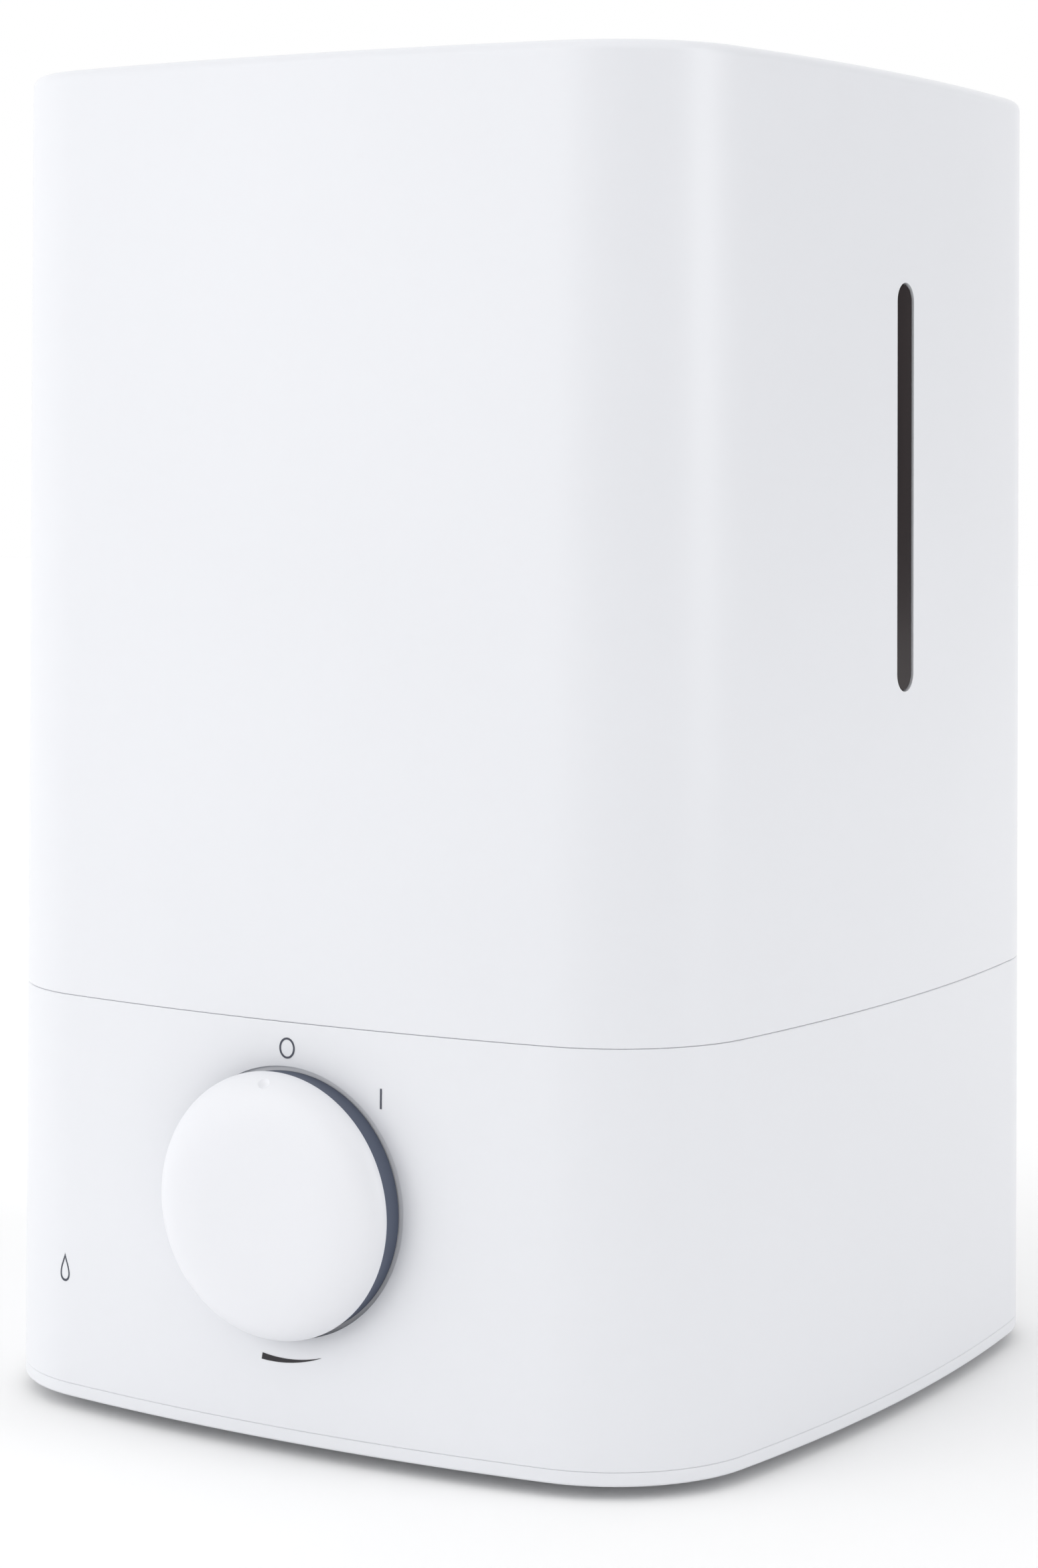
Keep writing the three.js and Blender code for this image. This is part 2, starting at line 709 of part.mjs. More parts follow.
// Fan: a square frame under the duct, with a stator on three struts and a bladed rotor.
{
  const half = fanSide / 2;
  const bore = half - fanFrame.wall;
  const statorTop = fanBottom + fanFrame.stator;
  let frame = block(-half, half, fanY - half, fanY + half, fanBottom, fanTop);
  frame = frame.subtract(rod(bore, fanBottom - over, fanTop + over, [0, fanY], 32));
  frame = frame.add(rod(fanHubRadius, fanBottom, statorTop, [0, fanY], 20));
  frame = frame.add(rod(fanFrame.pin, fanBottom + over, fanTop - fanFrame.pinBelow, [0, fanY], 10));
  for (let i = 0; i < 3; i++) {
    const across = fanFrame.strut / 2;
    const strut = block(fanHubRadius - over, bore + over, -across, across, fanBottom, statorTop);
    frame = frame.add(strut.rotate([0, 0, 90 + i * 120]).translate([0, fanY, 0]));
  }
  for (const sx of [-1, 1]) {
    for (const sy of [-1, 1]) {
      const place = [sx * fanScrewOut, fanY + sy * fanScrewOut];
      frame = frame.subtract(rod(fanFrame.hole, fanBottom - over, fanTop + over, place));
    }
  }
  piece(base, "fan_frame", frame, finishes.black);

  const rotorLow = statorTop + rotor.clearance;
  const rotorTop = fanTop - rotor.below;
  let turning = turned(
    [
      [0, rotorTop - rotor.roof],
      [rotor.bore, rotorTop - rotor.roof],
      [rotor.bore, rotorLow],
      [fanHubRadius, rotorLow],
      [fanHubRadius, rotorTop - rotor.bevel],
      [fanHubRadius - rotor.bevel, rotorTop],
      [0, rotorTop],
    ],
    20,
  );
  const tall = (rotorTop - rotorLow - blade.endClearance) / 2;
  const thick = blade.thickness / 2;
  for (let i = 0; i < fanBlades; i++) {
    const tip = bore - blade.tipClearance;
    const flat = block(fanHubRadius - over, tip, -thick, thick, -tall, tall);
    const pitched = flat.rotate([blade.pitch, 0, (i * 360) / fanBlades]);
    turning = turning.add(pitched.translate([0, 0, (rotorTop + rotorLow) / 2]));
  }
  piece(fan, "fan_rotor", turning.translate([0, fanY, 0]), finishes.black);

  for (const side of [-1, 1]) {
    const place = [side * fanScrewOut, fanY + side * fanScrewOut];
    const made = screwUp(fanScrew, fanBottom - gap, basinUnder + overlap, place);
    piece(base, `fan_screw_${side < 0 ? "front" : "rear"}`, made, finishes.steel);
  }
}

// Control board and what stands on it.
const boardLeft = board.x - board.width / 2;
const boardFront = board.y - board.depth / 2;
const onBoard = boardTop + gap;
{
  const { x, y } = board;
  let plate = block(boardLeft, 2 * x - boardLeft, boardFront, 2 * y - boardFront, boardBottom, boardTop);
  for (const place of standoffs) {
    plate = plate.subtract(rod(standoff.bore, boardBottom - over, boardTop + over, place));
  }
  piece(base, "control_board", plate, finishes.board);
  [standoffs[0], standoffs[3]].forEach((place, i) => {
    const { head, height, shank, tip } = boardScrew;
    const low = plateTop + tip;
    const made = rod(head, onBoard, onBoard + height, place)
      .add(rod(shank, low, onBoard + overlap, place, 8));
    piece(base, `board_screw_${i + 1}`, made, finishes.steel);
  });

  const sinkX = boardLeft + heatSink.x;
  const sinkY = boardFront + heatSink.y;
  const sinkTop = onBoard + heatSink.height;
  const sinkBack = sinkY + heatSink.back;
  let sink = block(sinkX, sinkX + heatSink.width, sinkY, sinkBack, onBoard, sinkTop);
  for (let i = 0; i < heatSink.count; i++) {
    const left = sinkX + i * heatSink.pitch;
    const right = left + heatSink.fin;
    const end = sinkY + heatSink.depth;
    sink = sink.add(block(left, right, sinkBack - overlap, end, onBoard, sinkTop));
  }
  piece(base, "heat_sink", sink, finishes.aluminium);

  // A moulded body on a flat tab, with its legs as one strip.
  const left = sinkX + transistor.x;
  const right = left + transistor.width;
  const back = sinkY - gap;
  const { body: moulding, tab, legs } = transistor;
  const inwards = (transistor.width - legs.width) / 2;
  const legTop = onBoard + legs.height;
  const [low, high] = moulding.z.map((z) => onBoard + z);
  const [tabLow, tabHigh] = tab.z.map((z) => onBoard + z);
  const strip = block(left + inwards, right - inwards, back - legs.from, back - legs.to, onBoard, legTop);
  const packaged = block(left, right, back - moulding.depth, back, low, high)
    .add(block(left, right, back - tab.depth, back, tabLow, tabHigh))
    .add(strip);
  piece(base, "power_transistor", packaged, finishes.black);

  const { radius, height, groove } = canister;
  const can = [
    [0, onBoard],
    [radius, onBoard],
    [radius, onBoard + 5 * groove],
    [radius - groove, onBoard + 6.5 * groove],
    [radius, onBoard + 8 * groove],
    [radius, onBoard + height - groove],
    [radius - groove, onBoard + height],
    [0, onBoard + height],
  ];
  piece(base, "capacitor", turned(can, 16, [x + canister.x, y + canister.y]), finishes.black);
  const torus = new THREE.TorusGeometry(coil.radius, coil.section, 8, 18);
  const winding = solid(torus.translate(x + coil.x, y + coil.y, onBoard + coil.z));
  piece(base, "induction_coil", winding, finishes.copper);
}

// A row of sockets that the leads go into.
const plugX = board.x + plug.x;
const plugY = board.y + plug.y;
const plugTop = onBoard + plug.height;
{
  const x = plug.width / 2;
  const y = plug.depth / 2;
  const made = block(plugX - x, plugX + x, plugY - y, plugY + y, onBoard, plugTop);
  piece(base, "board_connector", made, finishes.silicone);
}

// Potentiometer behind the front wall, with its nut in the recess behind the knob.
{
  const bodyFront = knobFace + wall + potSpacer;
  const outer = knobSeat - bushingReach;
  const profile = [
    [shaftRadius + gap, outer],
    [bushingRadius, outer],
    [bushingRadius, bodyFront],
    [potRadius, bodyFront],
    [potRadius, bodyFront + potDepth],
    [shaftRadius + gap, bodyFront + potDepth],
  ];
  piece(base, "potentiometer", turnedY(profile, 20, [0, knobZ]), finishes.aluminium);
  const nutBack = knobSeat - gap;
  const nutFront = nutBack - potNut.thickness;
  const nut = hexNutY(bushingRadius + gap, potNut.across, nutFront, nutBack, [0, knobZ]);
  piece(base, "potentiometer_nut", nut, finishes.brass);

  // The knob turns on the shaft: a white cap whose spigot carries the grey ring.
  const spigot = knobRingRadius - knobRingWidth;
  const ringFront = knobFace - knobRingDepth;
  const front = knobFace - knobDepth;
  const inner = spigot - gap;
  const hollow = front + knobWall;
  const ring = [
    [spigot, knobSeat - gap],
    [knobRingRadius, knobSeat - gap],
    [knobRingRadius, ringFront],
    [spigot, ringFront],
  ];
  piece(knob, "knob_ring", turnedY(ring, knobSteps, [0, knobZ]), finishes.slate);
  const hub = shaftRadius + gap;
  const hubOuter = hub + knobHub.wall;
  const hubEnd = knobFace - knobHub.gap;
  const hubSeat = hollow - knobHub.seat;
  const spigotInner = inner - knobSpigotWall;
  const spigotEnd = knobFace - knobSpigotGap;
  const cap = [
    [0, hubSeat],
    [hub, hubSeat],
    [hub, hubEnd],
    [hubOuter, hubEnd],
    [hubOuter, hollow],
    [spigotInner, hollow],
    [spigotInner, spigotEnd],
    [inner, spigotEnd],
    [inner, ringFront - gap],
    [knobRadius, ringFront - gap],
    ...knobDome.map(([inwards, back]) => [knobRadius - inwards, front + back]),
    [0, front],
  ];
  piece(knob, "knob_cap", turnedY(cap, knobSteps, [0, knobZ]), finishes.white);
  const shaftEnd = bodyFront + potDepth - over;
  const shaft = rodY(shaftRadius, hubSeat + shaftPlay, shaftEnd, [0, knobZ], 16);
  piece(knob, "knob_shaft", shaft, finishes.steel);
}

// Power jack in the rear wall: a flange outside, a nut inside and a centre contact.
{
  const seat = jackFace - jackFlange.recess + gap;
  const face = seat + jackFlange.thickness - gap;
  const back = seat - jack.depth;
  const profile = [
    [0, back],
    [jack.radius, back],
    [jack.radius, seat],
    [jackFlange.radius, seat],
    [jackFlange.radius, face],
    [jack.bore, face],
    [jack.bore, back + jack.floor],
    [jack.pin, back + jack.floor],
    [jack.pin, face - jack.pinShort],
    [0, face - jack.pinShort],
  ];
  piece(base, "power_jack", turnedY(profile, 16, [0, jackZ]), finishes.black);
  const nutOuter = jackFace - wall - jackNut.gap;
  const nutInner = nutOuter - jackNut.thickness;
  const nut = hexNutY(jack.radius + gap, jackNut.across, nutInner, nutOuter, [0, jackZ]);
  piece(base, "power_jack_nut", nut, finishes.steel);
}

// Leads from the board's sockets. Each leaves its socket straight up and ends straight on.
{
  const clear = 2 * gap;
  const jackEnd = jackFace - jackFlange.recess + gap - jack.depth - clear;
  const potEnd = knobFace + wall + potSpacer + potDepth + clear;
  const fanEnd = fanY - fanSide / 2 - clear;
  const fanMiddle = (fanTop + fanBottom) / 2;
  const ends = {
    potentiometer_lead: [[-12, potEnd + 16, knobZ - 9], [-6, potEnd + 8, knobZ], [-6, potEnd, knobZ]],
    transducer_lead: [[-14, 2, plugTop + 18], [-9, -2, fanBottom - 2], [-9, -2, fanTop - 3.5]],
    fan_lead: [[4, fanEnd - 12, plugTop + 14], [6, fanEnd - 6, fanMiddle], [6, fanEnd, fanMiddle]],
    power_lead: [[8, fanY - 20, jackZ + 4], [0, jackEnd - 12, jackZ], [0, jackEnd, jackZ]],
  };
  Object.entries(ends).forEach(([name, end], i) => {
    const x = plugX + plug.pitch * (i - 1.5);
    const start = [plugTop + gap, plugTop + 5].map((z) => [x, plugY, z]);
    piece(base, name, wire([...start, ...end], leadRadius, 16), finishes.lead);
  });
}

// Tank shell: walls, a rounded rim with a collar that guides the lid, and the ledge it sits on.
const slotTop = bodyHeight - slotTopMargin;
const slotBottom = baseHeight + slotBottomMargin;
const slotMiddle = (slotTop + slotBottom) / 2;
const leanAngle = (Math.atan2(draft, bodyHeight - lowerEdge) * 180) / Math.PI;
const slotFace = halfX - lean(slotMiddle);

// Tilts a solid about the middle of the slot, so that it stands as the wall leans.
function leaned(made) {
  const pivot = [slotFace, 0, slotMiddle];
  const back = pivot.map((value) => -value);
  return made.translate(back).rotate([0, -leanAngle, 0]).translate(pivot);
}
{
  const fillet = Array.from({ length: 4 }, (_, i) => {
    const angle = (i / 3) * (Math.PI / 2);
    const inset = rimFillet * (1 - Math.cos(angle));
    return [inset, bodyHeight - rimFillet * (1 - Math.sin(angle))];
  });
  const ledgeUnder = collarLedge - collarShelf;
  const rimUnder = bodyHeight - wall;
  let shell = bodyRing([
    [seamBevel, tankBottom],
    [0, tankBottom + seamBevel],
    ...fillet,
    [collarInset, bodyHeight],
    [collarInset, collarLedge],
    [collarInset + ledgeReach, collarLedge],
    [collarInset + ledgeReach, ledgeUnder],
    [collarOuter, ledgeUnder],
    [collarOuter, rimUnder],
    [wall + rimCove, rimUnder],
    [wall, rimUnder - rimCove],
    [wall, tankBottom],
  ]);
  const through = slotX(slotWidth, slotBottom, slotTop, slotFace - 2 * wall, slotFace + wall);
  shell = shell.subtract(leaned(through));
  piece(tank, "tank_shell", shell, finishes.white);

  const inside = slotFace - wall - gap;
  const { width, thickness } = windowFlange;
  const pane = slotX(
    slotWidth - 2 * gap,
    slotBottom + gap,
    slotTop - gap,
    inside - overlap,
    slotFace - windowRecess,
  );
  const flange = slotX(
    slotWidth + 2 * width,
    slotBottom - width,
    slotTop + width,
    inside - thickness,
    inside,
  );
  piece(tank, "water_window", leaned(pane.add(flange)), finishes.smoked);
}

// Tank floor: a flange inside the walls and a dish that dips into the base, with holes for
// the chimney and the valve.
{
  const flangeRise = tankFlangeBottom + tankFlange;
  let floor = bodyPlate([
    [skirtOuter + tankFloorBevel, tankFloorUnder],
    [skirtOuter, tankFloorUnder + tankFloorBevel],
    [skirtOuter, tankFlangeBottom],
    [lipInset, tankFlangeBottom],
    [lipInset, flangeRise],
    [skirtInner, flangeRise],
    [skirtInner, tankFloorTop],
  ]);
  const low = tankFloorUnder - over;
  const high = tankFloorTop + over;
  floor = floor.subtract(rod(chimneyRadius + gap, low, high, [0, 0], roundSteps));
  floor = floor.subtract(rod(valveHoleRadius, low, high, valvePlace, 16));
  piece(tank, "tank_floor", floor, finishes.white);
}

// Chimney: leads the mist up through the tank, on a seal on the tank's floor.
{
  const { width, thickness, seal, sealClearance } = chimneyFlange;
  const sealTop = tankFloorTop + gap + seal;
  const flangeLow = sealTop + gap;
  const inner = chimneyRadius - chimneyWall;
  const outer = chimneyRadius + width;
  const profile = [
    [inner, chimneyBottom],
    [chimneyRadius, chimneyBottom],
    [chimneyRadius, flangeLow],
    [outer, flangeLow],
    [outer, flangeLow + thickness],
    [chimneyRadius, flangeLow + thickness],
    [chimneyRadius, chimneyTop],
    [inner, chimneyTop],
  ];
  piece(tank, "mist_chimney", turned(profile), finishes.white);
  const washer = tube(chimneyRadius + gap, outer - sealClearance, tankFloorTop + gap, sealTop);
  piece(tank, "chimney_seal", washer, finishes.silicone);
}

// Valve: a sprung plunger in a cage over the floor's hole. The basin's pin holds it up while
// the tank sits on the base, and it drops onto the hole when the tank is lifted.
{
  const cageLow = tankFloorTop + gap;
  const cageTop = cageLow + cage.height;
  const cageRoof = cageTop - cage.roof;
  const cageInner = cage.radius - cage.wall;
  const stemHole = plunger.stem + stemClearance;
  let basket = turned([
    [cageInner, cageLow],
    [cage.radius + cage.rim, cageLow],
    [cage.radius + cage.rim, cageLow + cage.foot],
    [cage.radius, cageLow + cage.foot],
    [cage.radius, cageTop],
    [stemHole, cageTop],
    [stemHole, cageRoof],
    [cageInner, cageRoof],
  ]);
  for (let i = 0; i < 3; i++) {
    const across = cage.window / 2;
    const end = cage.radius + over;
    const side = block(0, end, -across, across, cageLow + cage.bar, cageTop - cage.bar);
    basket = basket.subtract(side.rotate([0, 0, i * 120]));
  }
  const [x, y] = valvePlace;
  piece(tank, "valve_cage", basket.translate([x, y, 0]), finishes.basin);

  const sealLow = cageLow + valveTravel;
  const sealTop = sealLow + plunger.seal;
  const discLow = sealTop + gap;
  const discTop = discLow + plunger.thickness;
  const stemLow = pinTop + gap;
  const stemTop = cageTop + valveTravel + plunger.above;
  const profile = [
    [0, stemLow],
    [plunger.stem, stemLow],
    [plunger.stem, discLow],
    [plunger.radius, discLow],
    [plunger.radius, discTop],
    [plunger.stem, discTop],
    [plunger.stem, stemTop],
    [0, stemTop],
  ];
  piece(valve, "valve_plunger", turned(profile, 20, valvePlace), finishes.basin);
  const sealOuter = plunger.radius - plunger.sealInset;
  const seal = tube(plunger.stem + gap, sealOuter, sealLow, sealTop, valvePlace, 20);
  piece(valve, "valve_seal", seal, finishes.silicone);

  const springLow = discTop + gap + spring.wire;
  const springTop = cageRoof - gap - spring.wire;
  const count = spring.turns * spring.steps;
  const points = Array.from({ length: count + 1 }, (_, i) => {
    const angle = (i / spring.steps) * 2 * Math.PI;
    const z = springLow + ((springTop - springLow) * i) / count;
    return [x + spring.radius * Math.cos(angle), y + spring.radius * Math.sin(angle), z];
  });
  const sections = count + spring.turns;
  piece(tank, "valve_spring", wire(points, spring.wire, sections), finishes.steel);
}

// Lid: a plate that drops into the rim, with a round dish for the nozzle.
{
  let plate = bodyPlate([
    [lidInset + lidBand, lidTop - lidThickness],
    [lidInset + lidBand, lidBottom],
    [lidInset, lidBottom],
    [lidInset, lidTop - lidEdge],
    [lidInset + lidEdge, lidTop],
  ]);
  plate = plate.add(rod(dishRadius, dishUnder, lidTop - lidThickness / 2, [0, 0], knobSteps));
  plate = plate.subtract(rod(dishRadius - dishWall, dishTop, lidTop + over, [0, 0], knobSteps));
  plate = plate.subtract(
    rod(nozzleSpigotRadius + gap, dishUnder - over, dishTop + over, [0, 0], roundSteps),
  );
  piece(lid, "tank_lid", plate, finishes.white);
}

// Nozzle: a low hollow turret whose spigot reaches into the chimney. Mist leaves by a slot
// on one side of its top, and turning it turns the mist.
{
  const spigotInner = nozzleSpigotRadius - nozzleSpigotWall;
  const inner = nozzleRadius - nozzleWall;
  const ceiling = nozzleTop - nozzleWall;
  const profile = [
    [0, ceiling],
    ...nozzleDomeInside.map(([inwards, below]) => [inner - inwards, ceiling - below]),
    [inner, nozzleBottom + nozzleWall],
    [spigotInner, nozzleBottom + nozzleWall],
    [spigotInner, chimneyTop - spigotReach],
    [nozzleSpigotRadius, chimneyTop - spigotReach],
    [nozzleSpigotRadius, nozzleBottom],
    [nozzleRadius, nozzleBottom],
    ...nozzleDome.map(([inwards, below]) => [nozzleRadius - inwards, nozzleTop - below]),
    [0, nozzleTop],
  ];
  const { length, width, offset } = outlet;
  const x = length / 2;
  const y = width / 2;
  const low = ceiling - nozzleDome[0][1];
  const made = turned(profile).subtract(block(-x, x, -offset - y, -offset + y, low, nozzleTop + over));
  piece(nozzle, "mist_nozzle", made, finishes.white);
}

// The overall box runs from the knob's front to the rear of the lower edge.
body.position.y = (knobDepth + faceY(knobZ) - halfY) / 2;

export default humidifier;
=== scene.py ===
# Cool mist humidifier: white tank on a white base, with a large round dial on the front.
# Sizes in the dictionaries are millimetres, and the floor and the camera's place are metres.
# Pieces are modelled about the body's own middle and moved to their place when completed.
import math

import bmesh
import bpy
from mathutils import Matrix, Vector


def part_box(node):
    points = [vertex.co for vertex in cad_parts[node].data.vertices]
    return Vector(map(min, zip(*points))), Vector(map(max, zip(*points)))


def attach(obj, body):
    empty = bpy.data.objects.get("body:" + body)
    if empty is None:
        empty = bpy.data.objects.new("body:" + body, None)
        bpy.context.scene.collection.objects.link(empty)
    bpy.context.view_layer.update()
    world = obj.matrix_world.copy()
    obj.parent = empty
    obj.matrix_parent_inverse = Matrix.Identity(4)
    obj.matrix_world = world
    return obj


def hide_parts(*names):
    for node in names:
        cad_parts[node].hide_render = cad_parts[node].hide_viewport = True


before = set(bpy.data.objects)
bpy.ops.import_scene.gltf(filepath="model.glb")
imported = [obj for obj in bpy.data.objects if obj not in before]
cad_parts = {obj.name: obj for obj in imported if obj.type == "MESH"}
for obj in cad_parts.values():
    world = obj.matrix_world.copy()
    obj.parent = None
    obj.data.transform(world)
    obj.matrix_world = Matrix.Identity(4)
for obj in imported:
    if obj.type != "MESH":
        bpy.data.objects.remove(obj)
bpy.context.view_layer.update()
mm = 0.001
joinWithin = 0.002 * mm  # points closer than this become one
sameLevel = 0.002 * mm
smoothAngle = math.radians(35)
past = 1  # how far a cutting or joined shape reaches past a face
alongX, alongZ = 0, 2  # axes, as places in a point
tankLow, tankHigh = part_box("tank_shell")
middleY = (tankLow.y + tankHigh.y) / 2  # the body's middle, in metres
corners = {"front_left": (-1, -1), "front_right": (1, -1), "rear_left": (-1, 1), "rear_right": (1, 1)}

bodyShape = {
    "width": 189.8,  # at the lower edge
    "depth": 200,
    "cornerRadius": 34.5,
    "bow": 10.1,  # how far each side bulges
    "draft": 4.2,  # how far the sides lean in on the way up
    "lowerEdge": 3,
    "rim": 289.7,
    "sideSteps": 24,
    "cornerSteps": 18,
}


def leanAt(z):
    low, high = bodyShape["lowerEdge"], bodyShape["rim"]
    return bodyShape["draft"] * (z - low) / (high - low)


def bowRadius(half):
    bow = bodyShape["bow"]
    return (half * half + bow * bow) / (2 * bow)


# The eight arcs of the outline: centre, radius, from and to angles, steps.
def outlineArcs():
    halfX, halfY, corner = bodyShape["width"] / 2, bodyShape["depth"] / 2, bodyShape["cornerRadius"]
    sideRadius, endRadius = bowRadius(halfY), bowRadius(halfX)
    sideMiddle, endMiddle = halfX - sideRadius, halfY - endRadius
    # the corner's centre stands this far from the middles of the side's and the end's arcs
    fromSide, fromEnd = sideRadius - corner, endRadius - corner
    apart = math.hypot(sideMiddle, endMiddle)
    along = (fromSide * fromSide - fromEnd * fromEnd + apart * apart) / (2 * apart)
    across = math.sqrt(fromSide * fromSide - along * along)
    stepX, stepY = -sideMiddle / apart, endMiddle / apart
    x, y = sideMiddle + along * stepX - across * stepY, along * stepY + across * stepX
    side = math.atan2(y, x - sideMiddle)
    end = math.atan2(y - endMiddle, x)
    pi, long, short = math.pi, bodyShape["sideSteps"], bodyShape["cornerSteps"]
    return [
        ((sideMiddle, 0), sideRadius, -side, side, long),
        ((x, y), corner, side, end, short),
        ((0, endMiddle), endRadius, end, pi - end, long),
        ((-x, y), corner, pi - end, pi - side, short),
        ((-sideMiddle, 0), sideRadius, pi - side, pi + side, long),
        ((-x, -y), corner, pi + side, pi + end, short),
        ((0, -endMiddle), endRadius, pi + end, 2 * pi - end, long),
        ((x, -y), corner, 2 * pi - end, 2 * pi - side, short),
    ]


arcs = outlineArcs()
cornerX, cornerY = arcs[1][0]


def faceY(z):  # how far the front and rear faces stand from the middle
    return bodyShape["depth"] / 2 - leanAt(z)


def editMode():
    bpy.ops.object.mode_set(mode="EDIT")


def objectMode():
    bpy.ops.object.mode_set(mode="OBJECT")


def selectMesh(action="SELECT"):
    bpy.ops.mesh.select_all(action=action)


def applyPlace():
    bpy.ops.object.transform_apply(location=True, rotation=True, scale=True)


def deselectAll():
    if bpy.context.object and bpy.context.object.mode != "OBJECT":
        objectMode()
    bpy.ops.object.select_all(action="DESELECT")


def activate(piece):
    deselectAll()
    piece.select_set(True)
    bpy.context.view_layer.objects.active = piece


# Puts a modifier with its settings on a piece and applies it.
def modify(piece, kind, **settings):
    activate(piece)
    modifier = piece.modifiers.new("shaping", kind)
    for name, value in settings.items():
        setattr(modifier, name, value)
    bpy.ops.object.modifier_apply(modifier=modifier.name)


# Selects the open edges at a level, in edit mode.
def pickOpenEdges(piece, level):
    bpy.ops.mesh.select_mode(type="EDGE")
    selectMesh("DESELECT")
    mesh = bmesh.from_edit_mesh(piece.data)
    for edge in mesh.edges:
        if edge.is_boundary and abs(edge.verts[0].co.z - level) < sameLevel:
            edge.select_set(True)
    mesh.select_flush(True)
    bmesh.update_edit_mesh(piece.data)


# Points on an arc about x, z, with its angles in degrees.
def arcPoints(x, z, radius, start, end, steps):
    angles = [math.radians(start + (end - start) * i / steps) for i in range(steps + 1)]
    return [(x + radius * math.cos(a), z + radius * math.sin(a)) for a in angles]


# A quarter arc that rounds the corner of a profile at x, z.
def roundCorner(x, z, radius, start, end, steps):
    (startX, startZ), (endX, endZ) = arcPoints(0, 0, radius, start, end, 1)
    return arcPoints(x - startX - endX, z - startZ - endZ, radius, start, end, steps)


# One point in edit mode, drawn out into a chain from place to place.
def traceChain(name, points):
    deselectAll()
    bpy.ops.mesh.primitive_plane_add(size=mm)
    piece = bpy.context.object
    piece.name = piece.data.name = name
    editMode()
    bpy.ops.mesh.select_mode(type="VERT")
    bpy.ops.mesh.merge(type="CENTER")
    bpy.ops.transform.translate(value=points[0])
    for here, there in zip(points, points[1:]):
        bpy.ops.mesh.extrude_region_move(TRANSFORM_OT_translate={"value": there - here})
    selectMesh()
    bpy.ops.mesh.remove_doubles(threshold=joinWithin)
    return piece


# Joins the ends of a sweep, closes its open edges if asked and turns its faces outwards.
def closeSweep(piece, filled):
    selectMesh()
    bpy.ops.mesh.remove_doubles(threshold=joinWithin)
    if filled:
        mesh = bmesh.from_edit_mesh(piece.data)
        levels = {round(edge.verts[0].co.z, 6) for edge in mesh.edges if edge.is_boundary}
        for level in sorted(levels):
            pickOpenEdges(piece, level)
            bpy.ops.mesh.edge_face_add()
    selectMesh()
    bpy.ops.mesh.normals_make_consistent(inside=False)
    objectMode()
    return piece


# Sweeps a profile of (inset, z) round the body's outline. An open one is closed across.
def sweepBody(name, profile, closed=True):
    (x, y), radius, start = arcs[0][:3]
    points = []
    for inset, z in profile + (profile[:1] if closed else []):
        reach = radius - inset - leanAt(z)
        points.append(Vector((x + reach * math.cos(start), y + reach * math.sin(start), z)) * mm)
    piece = traceChain(name, points)
    for (x, y), radius, start, end, steps in arcs:
        bpy.ops.mesh.spin(steps=steps, angle=start - end, center=(x * mm, y * mm, 0), axis=(0, 0, 1))
    return closeSweep(piece, not closed)


# Turns a profile of (radius, level) about an axis along Z or Y through a place.
def turn(name, profile, place=(0, 0), axis="Z", steps=64):
    a, b = place
    onAxis = profile[0][0] == 0
    chain = profile if onAxis else profile + profile[:1]
    if axis == "Z":
        points = [Vector((a + radius, b, level)) * mm for radius, level in chain]
        centre, direction = (a * mm, b * mm, 0), (0, 0, 1)
    else:
        points = [Vector((a + radius, level, b)) * mm for radius, level in chain]
        centre, direction = (a * mm, 0, b * mm), (0, 1, 0)
    piece = traceChain(name, points)
    bpy.ops.mesh.spin(steps=steps, angle=2 * math.pi, center=centre, axis=direction)
    return closeSweep(piece, False)


def rod(radius, low, high, place=(0, 0), axis="Z", steps=32):
    profile = [(0, low), (radius, low), (radius, high), (0, high)]
    return turn("rod", profile, place, axis, steps)


def block(low, high):
    deselectAll()
    size = [end - start for start, end in zip(low, high)]
    middle = [(start + end) / 2 * mm for start, end in zip(low, high)]
    bpy.ops.mesh.primitive_cube_add(size=mm, location=middle, scale=size)
    applyPlace()
    return bpy.context.object


# A prism with round ends, long in direction long and extruded along deep: both are axes 0-2.
def stadium(name, middle, length, width, long, deep, depth, steps=20):
    wide = 3 - long - deep
    reach, radius = length / 2 - width / 2, width / 2

    def at(along, across):
        point = [0, 0, 0]
        point[long], point[wide], point[deep] = along, across, -depth / 2
        return (Vector(point) + Vector(middle)) * mm

    angles = [math.pi * (i / steps - 0.5) for i in range(steps + 1)]
    points = [at(reach + radius * math.cos(a), radius * math.sin(a)) for a in angles]
    points += [at(-reach - radius * math.cos(a), -radius * math.sin(a)) for a in angles]
    piece = traceChain(name, points + points[:1])
    selectMesh()
    bpy.ops.mesh.edge_face_add()
    move = [0, 0, 0]
    move[deep] = depth * mm
    bpy.ops.mesh.extrude_region_move(TRANSFORM_OT_translate={"value": move})
    return closeSweep(piece, False)


# A copy with a mesh of its own, at a place (x, y) of the plan.
def copyTo(piece, name, place):
    activate(piece)
    bpy.ops.object.duplicate()
    copied = bpy.context.object
    copied.name = copied.data.name = name
    copied.location = Vector((*place, 0)) * mm
    applyPlace()
    return copied


def remove(piece):
    bpy.data.objects.remove(piece, do_unlink=True)


def carve(piece, tool, operation="DIFFERENCE"):
    modify(piece, "BOOLEAN", operation=operation, solver="EXACT", object=tool)
    remove(tool)


def join(piece, tool):
    carve(piece, tool, "UNION")


# Rounds the sharp edges of a finished shape.
def softenEdges(piece, width, segments):
    modify(piece, "BEVEL", width=width * mm, segments=segments, limit_method="ANGLE",
           angle_limit=math.radians(60), miter_outer="MITER_ARC")


